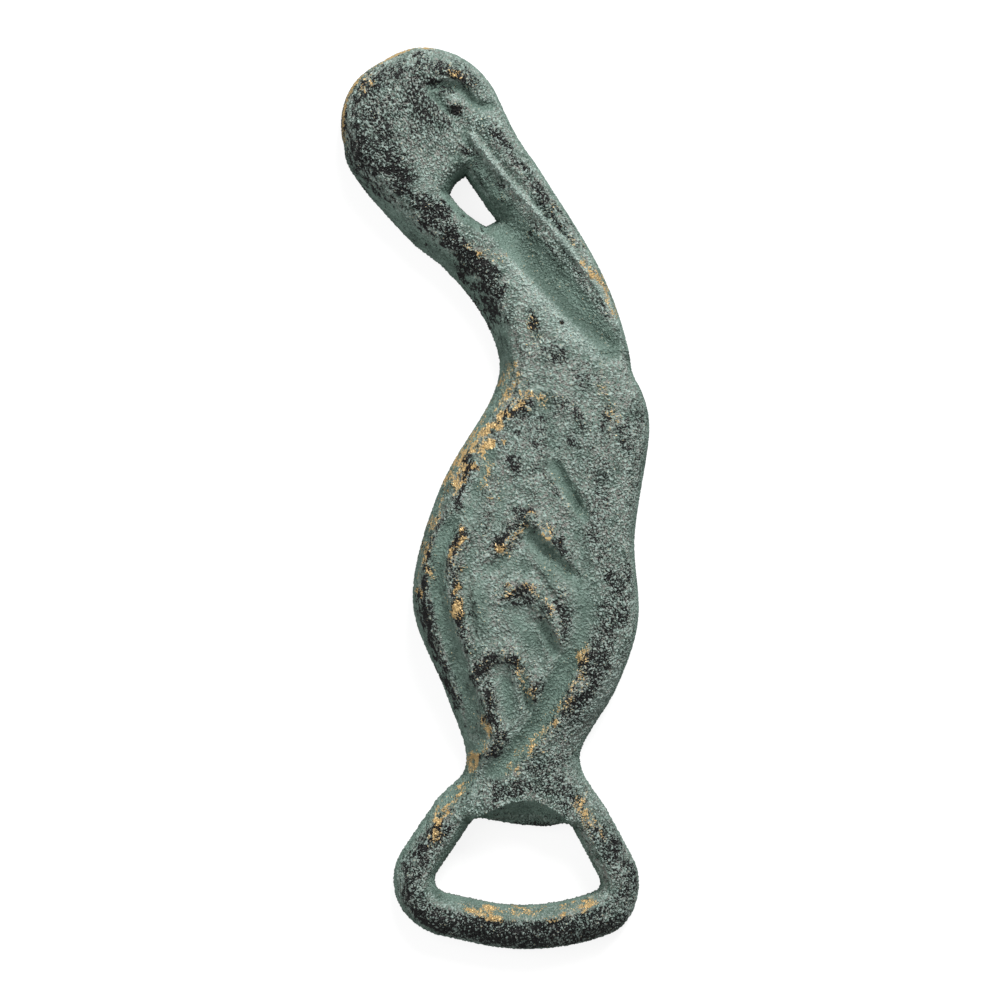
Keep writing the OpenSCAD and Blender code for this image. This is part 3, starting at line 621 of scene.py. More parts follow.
class Relief:
    """Height of the casting's front over its plan.

    Sizes are in millimetres: how far a place's thickness reaches and an edge's distance is measured, the
    width and the fullness of rounded edges, the wing's groove, and the x between which walls turn plain.
    """

    reach: float = 9.0
    far: float = 9.0
    bar_round: float = 3.7
    window_round: float = 2.6
    window_full: float = 1.7
    mouth_round: float = 2.4
    mouth_full: float = 1.6
    wing_depth: float = 0.6
    wing_half: float = 3.2
    plain_walls: Pair = (14.0, 5.0)

    def __init__(self, plan: Plan, view: Viewpoint) -> None:
        """Gather the places that set thickness and edge rounding."""
        self.plan = plan
        self.view = view
        self.places = self._thickness_places()

    def _thickness_places(self) -> Array:
        """Rows of x, y, thickness, width and fullness of the rounded edge, and how plain its wall is."""
        p, s = self.plan, self.plan.sizes
        bill_half = mix(p.bill_in(0.5)[0], p.bill_out(0.5)[0], 0.5)
        tip = p.bill_out(0.9)[0]
        nape = mix(p.throat, p.neck_low, np.array([0.5, 0.6]))
        return np.array([
            [s.loop_x, p.mouth_b[1] - s.bar_w / 2, s.loop_t, self.bar_round, 1.5, 0],
            [p.mouth_bl[0], p.mouth_bl[1], s.loop_t, self.bar_round, 1.5, 0.4],
            [p.mouth_br[0], p.mouth_br[1], s.loop_t, self.bar_round, 1.5, 0],
            [0, -s.tail_l / 2, mix(s.loop_t, s.body_t, 0.3), 6.0, 1.4, 1],
            [0, s.belly_y * 0.4, mix(s.loop_t, s.body_t, 0.65), 6.5, 1.8, 0.5],
            [1, s.belly_y, s.body_t, 6.5, 2.2, 0.15],
            [5, mix(s.belly_y, s.body_l, 0.6), s.body_t, 6.2, 2.2, 0.3],
            [p.belly_r[0] - 2, s.belly_y, s.body_t * 0.9, 3.4, 2.2, 0],
            [p.chest_r[0] - 3, mix(s.belly_y, s.body_l, 0.7), s.body_t * 0.9, 3.4, 2.2, 0],
            [s.shoulder_x, s.body_l, mix(s.neck_t, s.body_t, 0.7), 6.2, 1.9, 0.4],
            [nape[0], nape[1], s.neck_t, 6.8, 1.5, 1],
            [p.window_tl[0] - 4, p.window_tl[1] - 4, s.neck_t, 6.8, 1.5, 0.8],
            [p.head_c[0], p.head_c[1], s.head_t, 6.0, 2.1, 0],
            [p.bill_root[0] - 3, p.bill_root[1] - 8, s.bill_t, 3.6, 2.1, 0],
            [bill_half[0], bill_half[1], s.bill_t, 3.0, 2.2, 0],
            [tip[0], tip[1], s.bill_t, 2.6, 2.2, 0]], float)

    def _field(self, where: Array) -> Array:
        """The places' columns, as means weighted by a bell of the places' distance."""
        gap = where[:, None, :] - self.places[None, :, :2]
        weight = np.exp(-(gap**2).sum(2) / (2 * self.reach**2)) + 1e-6
        return weight @ self.places[:, 2:] / weight.sum(1)[:, None]

    @staticmethod
    def _rounding(gap: Array, width: Array | float, full: Array | float) -> Array:
        """Rise of an edge: a superellipse quarter, 0 at the edge and 1 from its width inward."""
        t = np.clip(1 - gap / width, 0, 1)
        return np.clip(1 - t**full, 0, 1)**(1 / full)

    @staticmethod
    def _bell_along(where: Array, line: Array, half: float) -> Array:
        """A bell across a line, 1 on the line and 0 from a half-width away."""
        return bell(closeness(where, line, half) / half)

    def _bill_strokes(self, where: Array) -> tuple[Array, Array, Array]:
        """The bill's fine ridge, then its crests and hollows: a crest, a groove, a pouch and a crease."""
        p = self.plan
        down = np.clip((where - p.window_br) @ p.bill_way / run_lengths(p.crease)[-1], 0, 1)
        ridge = self._bell_along(where, p.ridge, 1.1)
        crest = ridge + 0.4 * self._bell_along(where, p.along_bill(0.06, 0.55, 0.4), 1.7)
        hollow = 0.5 * self._bell_along(where, p.along_bill(0.08, 0.45, 0.5), 1.2)
        hollow += 1.1 * (1 - down) * self._bell_along(where, p.along_bill(0.16, 0.2, 0.1), 3.0)
        hollow += 2.8 * (1 - 0.6 * down) * self._bell_along(where, p.crease, 4.0)
        return ridge, crest, hollow

    def form(self, where: Array) -> Form:
        """Height and its parts at plan points.

        Args:
            where: Plan points in millimetres, one row each.

        Returns:
            The form there: a thin land, plus the rounded edges times the thickness with all strokes added.
        """
        p, s = self.plan, self.plan.sizes
        thick, width, full, wall = self._field(where).T
        wall = wall * ease(*self.plain_walls, where[:, 0])
        outline, window, mouth = (
            closeness(where, line, self.far) for line in (p.outline, p.window, p.mouth_rim))
        edge = self._rounding(outline, width, full)
        edge *= self._rounding(window, self.window_round, self.window_full)
        edge *= self._rounding(mouth, self.mouth_round, self.mouth_full)
        ridge, crest, hollow = self._bill_strokes(where)
        hollow = hollow + self.wing_depth * self._bell_along(where, p.wing_edge, self.wing_half)
        for stroke in FEATHERS + GROOVES + FACE:
            laid = stroke.lay(where, self.view)
            crest = np.maximum(crest, laid)
            hollow = np.maximum(hollow, -laid)
        nicks = sum(stroke.lay(where, self.view) for stroke in NICKS)
        height = s.edge_t + edge * (thick - s.edge_t + crest - hollow + nicks)
        rim = np.minimum(np.minimum(outline, window), mouth)
        return Form(height, rim, mouth, wall, crest, hollow, ridge)


class NoiseField:
    """A random field of smoothly joined lattice values, in octaves of ever finer grain."""

    table: int = 64
    finer: float = 1.5
    spread: float = 1.75

    def __init__(self, seed: int, size: float, octaves: int, gain: float, drawn: float = 1.0) -> None:
        """Draw the lattice values and a random turn for each octave.

        Args:
            seed: Seed of the draw.
            size: Lattice spacing of the coarsest octave in millimetres.
            octaves: Number of octaves, each with two thirds of the spacing of the one before.
            gain: Strength of each octave against the one before.
            drawn: How many times longer the grain is along Y.
        """
        rng = np.random.default_rng(seed)
        self.values = rng.normal(size=(octaves, self.table**3))
        self.turns = [np.linalg.qr(rng.normal(size=(3, 3)))[0] for _ in range(octaves)]
        self.shift = rng.uniform(0, self.table, size=(octaves, 3))
        self.scale = self.finer**np.arange(octaves) / size
        self.gain = gain**np.arange(octaves)
        self.drawn = np.array([1.0, 1.0 / drawn, 1.0])

    def at(self, where: Array) -> Array:
        """The field at points in millimetres, with mean zero and a standard deviation near one."""
        out = np.zeros(len(where))
        octaves = zip(self.values, self.turns, self.shift, self.scale, self.gain)
        for values, way, shift, scale, gain in octaves:
            place = (where * self.drawn) @ way * scale + shift
            cell = np.floor(place).astype(np.int64)
            t = place - cell
            t = t * t * (3 - 2 * t)
            for corner_bits in range(8):
                step = np.array([corner_bits & 1, corner_bits >> 1 & 1, corner_bits >> 2])
                index = (cell + step) % self.table
                weight = np.where(step, t, 1 - t).prod(1)
                entry = (index[:, 0] * self.table + index[:, 1]) * self.table + index[:, 2]
                out += gain * weight * values[entry]
        return out * self.spread / np.sqrt((self.gain**2).sum())


@dataclass(frozen=True)
class SandGrain:
    """Roughness that the sand mould leaves, as depths in millimetres along the surface normal.

    Bumps have sizes from least to most, and a bump of the middle size stays on the surface.
    """

    pebble: float = 0.17
    swell: float = 0.08
    wall: float = 0.11
    least: float = 0.01
    middle: float = 1.2
    most: float = 2.0
    edge_width: float = 0.5
    edge_share: float = 0.9
    pebbles: NoiseField = field(default_factory=lambda: NoiseField(11, 0.37, 2, 0.6))
    swells: NoiseField = field(default_factory=lambda: NoiseField(12, 2.0, 2, 0.5))

    def bumps(self, where: Array) -> Array:
        """Rounded bumps with sharp cracks between them: the pebble field's size without its sign."""
        return np.clip(np.abs(self.pebbles.at(where)), self.least, self.most)

    def depth(self, where: Array, pebbled: Array, free: Array) -> tuple[Array, Array]:
        """Displacement along the normal.

        Args:
            where: Points in millimetres.
            pebbled: Share of full grain at each point, 0 on smooth walls and 1 on open faces.
            free: Distance from the nearest free edge, where the grain is a little shallower.

        Returns:
            The displacement in millimetres, and the bumps spread like normal draws.
        """
        bump = self.bumps(where)
        size = mix(self.wall, self.pebble, pebbled)
        fade = mix(self.edge_share, 1.0, ease(0.0, self.edge_width, free))
        depth = fade * (size * (bump - self.middle) + self.swell * pebbled * self.swells.at(where))
        return depth, np.log(np.expm1(LOGISTIC * bump) / 2) / LOGISTIC


# Where black is rubbed on.
BLACK_RUB = stroke_rows(
    (18.0, 1.0, (-29, 122), (-28, 114), (-24, 107)),
    (10.0, 0.8, (-23, 124), (-18, 118), (-16, 112)),
    (4.2, 0.85, (-31, 119), (-31, 113), (-29, 108), (-26, 105)),
    (5.4, 0.95, (-28, 109), (-22.5, 104.5), (-17.5, 100.5), (-13, 96)),
    (4.2, 1.05, (-15, 98), (-10.4, 92.6), (-7.4, 88), (-5.7, 83.5), (-4.3, 79.5)),
    (3.4, 0.8, (-30, 120), (-27, 124), (-22, 126.5), (-16, 126.5), (-11.5, 124.5), (-7, 121.5)),
    (1.2, 1.5, (-17.8, 122.9), (-14.5, 122.8), (-11.8, 121.4)),
    (1.9, 1.0, (-10.5, 112), (-9.3, 109.7), (-7, 106.8), (-4, 102.8)),
    (1.7, 0.85, (-4.5, 103.5), (-1.5, 100.3), (1.2, 97.3), (3.9, 94), (7.5, 89.5)),
    (2.7, 0.78, (-6.5, 116.5), (-4, 113), (0.3, 107.4), (4.4, 101), (8.6, 94), (10.5, 91)),
    (2.6, 0.56, (9, 90), (12.5, 85), (16, 79)),
    (2.0, 0.92, (1.5, 82), (2.5, 79), (3.5, 76.5)),
    (2.6, 0.74, (4, 76.5), (6.5, 73.5), (9, 72)),
    (3.2, 0.76, (9.5, 70.5), (14, 67.5)),
    (6.0, 0.36, (0, 78), (3, 72), (9, 66)),
    (4.5, 0.5, (20, 67), (22, 62), (21, 54), (19, 46)),
    (7.0, 0.54, (14, 58), (14, 50), (14, 42), (15, 32)),
    (7.0, 0.5, (-1, 60), (4, 56), (5, 48)),
    (6.0, 0.68, (17, 36), (18, 30), (17, 25), (15.5, 19), (13, 11), (9.5, 7.5), (5.5, 2)),
    (2.3, 0.85, (-17.5, 38), (-17.5, 33), (-18, 27.5), (-17, 22.5), (-15, 16), (-13, 11), (-11.5, 8)),
    (1.9, 0.95, (-9.5, 41), (-11.5, 39.5), (-12.8, 36), (-12.5, 31), (-12, 26), (-10.5, 21.5)),
    (1.9, 0.72, (-9.5, 30), (-8.5, 25), (-9, 21)),
    (1.7, 0.85, (-9, 55), (-10.5, 50.5), (-12.5, 44)),
    (1.8, 0.8, (-6, 41), (-4, 38), (-3.5, 36)),
    (2.4, 0.8, (-5, 60), (-2, 63), (2, 62.5), (6, 60)),
    (4.5, 0.64, (-1, 60.5), (3, 59.5), (6.5, 57)),
    (2.2, 0.76, (8, 59), (11.5, 56)),
    (2.4, 0.74, (15.5, 63.5), (15, 58)),
    (2.6, 0.68, (19, 62), (18.5, 57), (20.5, 54)),
    (1.8, 0.9, (-3.5, 53), (-1, 53.5), (-2, 50.5)),
    (2.1, 0.86, (-6, 37), (-3.5, 40), (-1, 43), (1.5, 43.5), (3, 42)),
    (2.3, 0.9, (5.5, 40.5), (7, 37.5), (9.5, 35)),
    (3.0, 0.82, (-5, 27), (-3, 28.5), (-0.5, 29.5), (2.5, 27.5)),
    (1.5, 0.8, (3, 28), (5, 24)),
    (2.8, 0.95, (5.5, 28), (8, 25.5), (7.2, 22), (6.5, 20.5)),
    (1.9, 0.92, (-9, 12.5), (-7.5, 16), (-5, 17.5), (-2, 17.5), (-0.5, 15.5)),
    (2.9, 1.05, (0.5, 14), (2, 11), (3.5, 9)),
    (2.0, 0.95, (-7.5, 13), (-6.5, 9.5), (-5.5, 6), (-4.5, 3), (-5, 0.5), (-7.5, -1.5)),
    (3.2, 0.85, (14, 20), (12.5, 13.5), (11, 10), (8, 6)),
    (4.0, 0.78, (-8, -9.5), (-4, -7.5), (2, -6), (8, -9)),
    (4.5, 0.64, (0, -4.5), (6, -3), (9, 1)),
    (5.0, 0.66, (5, -3), (9, -8), (11.5, -13)))

# Solid black in the eye and in a pinhole.
INK = stroke_rows(
    (1.8, 2.0, (-12.9, 118.4), (-11.3, 118.1)),
    (0.6, 3.0, (7.2, 79.2), (7.5, 79.1)))

# Valleys that are wiped clean of black.
WIPED = stroke_rows(
    (3.0, 0.9, (-8, 32), (-8, 27), (-7, 21)),
    (3.2, 0.9, (-3, 26), (0.5, 22.5), (3.5, 18)),
    (2.6, 0.9, (1.5, 40), (3.5, 36), (6.5, 31)),
    (3.0, 0.9, (9, 33), (11.5, 28), (11, 22), (10, 17)),
    (2.6, 0.9, (-3.5, 14.5), (-2.5, 10), (-1.5, 5)),
    (2.8, 0.9, (7, 16), (5, 11), (3, 5)),
    (3.2, 0.9, (-8.5, 46), (-11, 42.5)),
    (2.4, 0.7, (-4, 34), (-1, 35), (1.5, 33)),
    (1.6, 0.7, (-17, 120.5), (-14.5, 121.5)),
    (2.2, 0.9, (-15, -27), (-8, -29), (-1, -29.7), (6, -29), (13, -27)))

# Painted shade: a crease, the window's side and a groove, darkened toward the dark green.
PAINTED_SHADE = stroke_rows(
    (2.6, 0.9, (0.5, 93), (4.5, 86.8), (8.5, 81.8), (13.5, 77.3), (17, 75)),
    (2.4, 0.8, (-8, 105.5), (-4.5, 100.5), (-2, 96.5)),
    (1.3, 0.6, (6.2, 53), (8.5, 48.5), (11.2, 44)))

# Painted highlights: bands and edges on which the grain is painted lighter.
PAINTED_HIGHLIGHTS = stroke_rows(
    (3.2, 1.0, (-3, 92), (0.8, 86.5), (5, 81), (10.5, 76.2), (17, 72.5)),
    (3.4, 0.7, (-19, 106), (-15.5, 103.5)),
    (2.4, 0.6, (-8.5, 119), (-5, 117.5)),
    (1.3, 0.8, (-13.8, 120.8), (-11, 120.6)),
    (1.5, 0.6, (5.3, 53), (7, 49.5), (9, 46)),
    (1.4, 0.5, (3.5, 40.5), (5.5, 37)),
    (2.6, 0.8, (18.5, 16), (16, 11), (13, 6.5)))

# Where gold is rubbed on.
GOLD_RUB = stroke_rows(
    (3.5, 1.0, (-1.5, 72), (-3, 66), (-6, 60), (-10.5, 55.5), (-13, 50.5), (-15.5, 46.5)),
    (2.0, 0.75, (-14, 48), (-17, 41), (-18.5, 34), (-18.5, 28)),
    (2.0, 0.95, (-4.5, 61), (-2.5, 63.5), (0, 64.5), (5, 65.3)),
    (2.0, 0.62, (-7.5, 57.5), (-7, 52), (-6, 48)),
    (2.8, 1.1, (-9, 57), (-12, 52.5), (-14.5, 48)),
    (1.6, 0.8, (-18, 36), (-17.5, 31)),
    (1.8, 0.85, (-5, 39), (-3, 36.5)),
    (2.0, 0.95, (-6, 47.5), (-4, 46)),
    (2.2, 0.88, (-10, 41), (-12, 37), (-12.5, 31), (-11, 24)),
    (2.0, 0.55, (-4, 36.5), (-1, 41), (2, 43), (6, 38.5)),
    (2.0, 0.75, (-4.5, 28.5), (-0.5, 31), (3, 28.5), (6, 24.5)),
    (2.0, 0.6, (-1.5, 19), (0.5, 14), (2.5, 9.5)),
    (1.8, 0.9, (-6.5, 6.5), (-6.5, 3), (-8.5, -1), (-10, -4.5)),
    (2.1, 0.75, (12, 20), (11, 15), (7.5, 8), (4, 3), (1, 0), (-3, -5)),
    (2.0, 0.65, (-10.7, 95), (-7.5, 93), (-4, 90.4), (-3, 86.5)),
    (2.0, 0.75, (-13.5, 126.5), (-12, 124.3)),
    (1.6, 0.7, (4.5, 101.5), (5.5, 100)),
    (1.5, 0.7, (9, 95.5), (12, 91), (15, 85.5), (17, 80)),
    (2.0, 0.6, (0.5, 80), (2, 78), (3, 75)),
    (2.0, 0.45, (15, 71), (16, 65), (17, 58)),
    (2.0, 0.85, (-9.5, -5.5), (-12.5, -9.5), (-15.5, -14), (-17.5, -18)),
    (2.2, 0.7, (10.5, -8), (13, -13), (15, -18)),
    (1.7, 1.05, (-11.5, -29), (-5, -30.6), (2, -31), (9, -30), (14, -27.5)),
    (1.6, 0.6, (-30, 121), (-27.5, 125)))


@dataclass(frozen=True)
class Coverage:
    """Shares of the surface that each paint covers, how plain and deep the surface is, and how much painted
    shade and painted highlight it gets.
    """

    black: Array
    gold: Array
    plain: Array
    deep: Array
    shade: Array
    painted_highlight: Array


@dataclass(frozen=True)
class Patina:
    """Where the black and the gold are rubbed on over the green, and where shade and highlights are painted.

    The view is the one in which the rubs were drawn. Pairs are where a fade starts and ends: along x, y or
    away from an edge in millimetres, in how far the surface faces the front, or in the strength of a form.
    """

    view: Viewpoint
    patches: NoiseField = NoiseField(21, 3.0, 4, 0.8)
    warps: tuple[NoiseField, NoiseField] = (NoiseField(22, 2.5, 4, 0.8), NoiseField(23, 2.5, 4, 0.8))
    warp: float = 0.22
    widest_bend: float = 4.0
    open_from: Pair = (0.12, 0.62)
    open_range: float = 0.28
    hollow_fade: Pair = (0.2, 1.0)
    crest_fade: Pair = (0.2, 0.7)
    loop_y: Pair = (-10.5, -13.5)
    base_bar_y: Pair = (-27, -33)
    mouth_wall: Pair = (2.6, 1.6)
    skull_x: Pair = (-14, -18)
    skull_y: Pair = (108, 113)
    skull_rim: float = 0.4
    skull_half: float = 0.7
    patchy: float = 0.07
    speckle: float = 0.18
    crest_black: float = 0.2
    rub_black: float = 0.81
    loop_black: float = 0.55
    base_bar_black: float = 0.16
    contrast: float = 5.5
    most_black: float = 0.8
    most_ink: float = 1.3
    gold_patchy: float = 0.2
    face_gold: float = 0.06
    crest_gold: float = 0.1
    rub_gold: float = 0.57
    skull_gold: float = 0.6
    hollow_painted_shade: float = 0.35
    drawn_painted_shade: float = 0.8
    highlight_clears_black: float = 0.7

    def _most(self, where: Array, strokes: list[Stroke], bend: Array | float = 0.0) -> Array:
        """The strongest of a list of strokes at points, with narrow strokes bent less than wide ones."""
        flat, most = where[:, :2], self.widest_bend
        laid = [stroke.lay(flat + bend * min(stroke.half, most), self.view) for stroke in strokes]
        return np.max(laid, axis=0)

    def cover(self, where: Array, form: Form, facing: Array) -> Coverage:
        """Coverage at points of the front and its walls.

        Args:
            where: Points in millimetres, one row each.
            form: The relief there.
            facing: How far the bare surface faces the front, from 0 to 1.

        Returns:
            The coverage: an even speckle on open faces, more on crests, little in hollows and on walls,
            the drawn rubs over them, a thread of gold on the skull's rim, and the black as a smooth step.
            Painted shade darkens hollows and the drawn creases, and painted highlights on the bill's ridge
            and the drawn bands clear black.
        """
        low = mix(*self.open_from, form.wall)
        open_face = ease(low, low + self.open_range, facing)
        deep = np.maximum(ease(*self.hollow_fade, form.hollow), self._most(where, WIPED)) * open_face
        crest = ease(*self.crest_fade, form.crest)
        patch = self.patches.at(where)
        black = open_face * (self.speckle + self.patchy * patch) * (1 - 0.85 * deep)
        black = black + self.crest_black * crest * open_face
        gold = (self.face_gold + self.crest_gold * crest) * open_face * (1 - form.ridge)
        bend = self.warp * np.stack([warp.at(where) for warp in self.warps], 1)
        rub = self._most(where, BLACK_RUB, bend) * (self.rub_black + self.patchy * patch)
        black = np.maximum(black, rub * (1 - 0.5 * deep) * (1 - 0.8 * form.ridge))
        rub = self._most(where, GOLD_RUB, bend) * (self.rub_gold + self.gold_patchy * patch)
        gold = np.maximum(gold, rub)
        inner = ease(*self.mouth_wall, form.mouth)
        on_loop = ease(*self.loop_y, where[:, 1]) * open_face * (1 - inner)
        base_bar = ease(*self.base_bar_y, where[:, 1])
        rub = on_loop * (self.loop_black + self.base_bar_black * base_bar + self.patchy * patch)
        black = np.maximum(black, rub)
        skull = ease(*self.skull_y, where[:, 1]) * ease(*self.skull_x, where[:, 0])
        rim = bell((form.rim - self.skull_rim) / self.skull_half)
        rub = skull * rim * (self.skull_gold + self.gold_patchy * patch)
        gold = np.maximum(gold, rub)
        plain = np.maximum(1 - open_face, deep)
        black = np.minimum(1 / (1 + np.exp(self.contrast * (0.5 - black))), self.most_black)
        # Painted shade: the green darkens toward the dark green in hollows and along the drawn creases.
        shade = np.minimum(self.hollow_painted_shade * deep + self.drawn_painted_shade * self._most(where, PAINTED_SHADE), 1)
        # Painted highlight along the bill's ridge and the drawn lit bands, which also clears black.
        painted_highlight = np.maximum(form.ridge, self._most(where, PAINTED_HIGHLIGHTS))
        black = np.maximum(black * (1 - self.highlight_clears_black * painted_highlight), self._most(where, INK))
        black = np.clip(black, 0, self.most_ink)
        return Coverage(black, np.clip(gold, 0, 1), plain, deep, shade, painted_highlight)


@dataclass
class CastZone:
    """One zone of the casting as a closed mesh: a front grid, a coarser back grid, walls and end caps.

    Fields: the makers of its shape and paint, its box in metres, the grids' spacing and counts, and the
    sizes and shares of the tooth's ramp, the grain, the streaks, the painted highlight and the back.
    """

    zone: Zone
    plan: Plan
    relief: Relief
    grain: SandGrain
    patina: Patina
    low: Array
    high: Array
    spacing: float = 0.13
    most_cells: int = 74000
    back_step: int = 4
    few_rows: int = 33
    fine_steps: int = 240
    wall_height: float = 5.0
    tooth_rise_least: float = 0.2
    tooth_even: float = 0.35
    tooth_hollow: float = 0.8
    pebbles_from: Pair = (0.15, 0.5)
    pebbles_range: float = 0.35
    deep_smooth: float = 0.65
    streak_facing: Pair = (0.9, 0.65)
    streak_side: Pair = (-0.2, 0.3)
    highlight_grain: float = 0.95
    highlight_share: float = 0.8
    foot_width: float = 0.25
    back_rough: float = 0.06
    streaks: NoiseField = field(default_factory=lambda: NoiseField(31, 0.36, 3, 0.8, 3.5))

    def _rails(self) -> tuple[Array, Array]:
        """The zone's two rails, each joined from its stretches and matched point by point."""
        parts = self.plan.sections(self.zone)
        return tuple(
            np.vstack([parts[0][k]] + [part[k][1:] for part in parts[1:]]) for k in (0, 1))

    @staticmethod
    def _even(a: Array, b: Array, rows: int) -> tuple[Array, Array]:
        """The same rails with their rows spaced evenly by the mean length of the two."""
        run = run_lengths(a) + run_lengths(b)
        at = np.linspace(0, run[-1], rows + 1)
        return tuple(
            np.stack([np.interp(at, run, rail[:, 0]), np.interp(at, run, rail[:, 1])], 1) for rail in (a, b))

    def _form(self, a: Array, b: Array, share: Array) -> tuple[Array, Form]:
        """Plan points at shares of the way from rail a to rail b, and the relief there.

        Args:
            a: First rail.
            b: Second rail.
            share: Shares across, one row for each pair of rail points.

        Returns:
            The plan points and the form. The tooth is a hollow ramp that steepens toward its brow.
        """
        where = mix(a[:, None], b[:, None], share[..., None]).reshape(-1, 2)
        form = self.relief.form(where)
        if self.zone is not Zone.TOOTH:
            return where, form
        brow = self.relief.form(b).height[:, None]
        tip = np.minimum(self.plan.sizes.tooth_t, brow - self.tooth_rise_least)
        even = self.tooth_even
        height = mix(tip, brow, even * share + (1 - even) * share**3).ravel()
        bare = np.zeros(len(where))
        hollow = bare + self.tooth_hollow
        return where, Form(
            height, distance_to(where, a), bare + self.relief.far, bare + 1, bare, hollow, bare)

    def _shares(self, a: Array, b: Array, columns: int) -> Array:
        """Shares across each row that space its points evenly along the relief, not along the plan."""
        few = np.linspace(0, len(a) - 1, self.few_rows).round().astype(int)
        angle = np.pi * np.linspace(0, 1, self.fine_steps + 1)
        fine = np.tile((1 - np.cos(angle)) / 2, (len(few), 1))
        where, form = self._form(a[few], b[few], fine)
        solid = np.column_stack([where, form.height]).reshape(len(few), -1, 3)
        run = np.cumsum(np.linalg.norm(np.diff(solid, axis=1), axis=2) + 1e-9, axis=1)
        run = np.hstack([np.zeros((len(few), 1)), run])
        run /= run[:, -1:]
        row = np.arange(len(few))[:, None]
        even = np.linspace(0, 1, columns + 1)
        at = np.interp((2 * row + even).ravel(), (2 * row + run).ravel(), fine.ravel())
        at = at.reshape(len(few), -1)
        at[:, 0], at[:, -1] = 0, 1
        place = np.interp(np.arange(len(a)), few, np.arange(len(few)))
        first = np.minimum(place.astype(int), len(few) - 2)
        return mix(at[first], at[first + 1], (place - first)[:, None])

    def _counts(self, a: Array, b: Array) -> tuple[int, int]:
        """Rows and columns that give the wanted spacing within the most cells allowed."""
        length = max(run_lengths(a)[-1], run_lengths(b)[-1])
        width = np.linalg.norm(b - a, axis=1).mean() + self.wall_height
        rows, columns = length / self.spacing, width / self.spacing
        shrink = min(1.0, np.sqrt(self.most_cells / (rows * columns)))
        return int(rows * shrink), int(columns * shrink)

    def _front(self, a: Array, b: Array, share: Array) -> tuple[Array, Array, dict[str, Array]]:
        """Front points with grain, the distance from free edges, and the paint's attributes."""
        where, form = self._form(a, b, share)
        solid = np.column_stack([where, form.height]).reshape(*share.shape, 3)
        normal = np.cross(np.gradient(solid, axis=0), np.gradient(solid, axis=1))
        normal /= np.maximum(np.linalg.norm(normal, axis=2, keepdims=True), 1e-12)
        flat, facing = solid.reshape(-1, 3), normal[..., 2].ravel()
        cover = self.patina.cover(flat, form, facing)
        low = mix(*self.pebbles_from, form.wall)
        pebbled = ease(low, low + self.pebbles_range, facing) * (1 - self.deep_smooth * cover.deep)
        depth, pebble = self.grain.depth(flat, pebbled, form.rim)
        brushed = ease(*self.streak_side, -normal[..., 0] - 0.5 * normal[..., 1]).ravel()
        slope = ease(*self.streak_facing, facing) * brushed
        speck = (1 - slope) * pebble + slope * self.streaks.at(flat)
        speck = 1 / (1 + np.exp(-LOGISTIC * speck / np.sqrt((1 - slope)**2 + slope**2)))
        # Painted highlight: the grain is raised toward its tops, so the green turns lighter and loses black.
        speck = mix(speck, self.highlight_grain, self.highlight_share * cover.painted_highlight)
        speck = mix(FOOT_GRAIN, speck, ease(0.0, self.foot_width, form.rim))
        moved = flat + normal.reshape(-1, 3) * depth[:, None]
        layers = dict(black=cover.black, gold=cover.gold, plain=cover.plain, shade=cover.shade, grain=speck)
        return moved.reshape(solid.shape), form.rim.reshape(share.shape), layers

    def _back(self, front: Array, rim: Array) -> tuple[Array, dict[str, Array]]:
        """Back points under a thinned set of columns, faintly rough inside the rim, and their attributes."""
        wide = front.shape[1]
        columns = np.unique(np.linspace(0, wide - 1, wide // self.back_step + 2).astype(int))
        back = front[:, columns].copy()
        back[..., 2] = 0
        flat = back.reshape(-1, 3)
        bump = self.grain.bumps(flat)
        fade = ease(0.2, 1.2, rim[:, columns]).ravel()
        flat[:, 2] = fade * self.back_rough * (self.grain.most - bump)
        patch = self.patina.patches.at(flat)
        even = np.ones(len(flat))
        layers = dict(
            black=fade * (0.2 + 0.1 * patch),
            gold=0.03 * fade,
            plain=0.25 * even,
            shade=0.1 * even,
            grain=mix(FOOT_GRAIN, np.tanh(0.85 * bump), fade))
        return flat.reshape(back.shape), layers

    def build(self, material: bpy.types.Material) -> bpy.types.Object:
        """Make the zone's object, dress it and set it in the frame in place of its CAD node.

        Args:
            material: The finish.

        Returns:
            The finished piece, with its place in its mesh.
        """
        a, b = self._rails()
        rows, columns = self._counts(a, b)
        a, b = self._even(a, b, rows)
        front, rim, layers = self._front(a, b, self._shares(a, b, columns))
        back, back_layers = self._back(front, rim)
        points = np.vstack([front.reshape(-1, 3), back.reshape(-1, 3)])
        points[:, :2] -= self.plan.middle
        points = np.clip(points * MILLIMETRE, self.low, self.high)
        mesh = bpy.data.meshes.new(self.zone.value + "_cast")
        self._fill(mesh, points, front.shape[1], back.shape[1], rows + 1)
        for name, values in layers.items():
            both = np.concatenate([values, back_layers[name]]).astype(np.float32)
            mesh.attributes.new(name, "FLOAT", "POINT").data.foreach_set("value", both)
        mesh.materials.append(material)
        piece = bpy.data.objects.new(self.zone.value + "_cast", mesh)
        bpy.context.scene.collection.objects.link(piece)
        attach(piece, BODY)
        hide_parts(self.zone.value)
        return piece

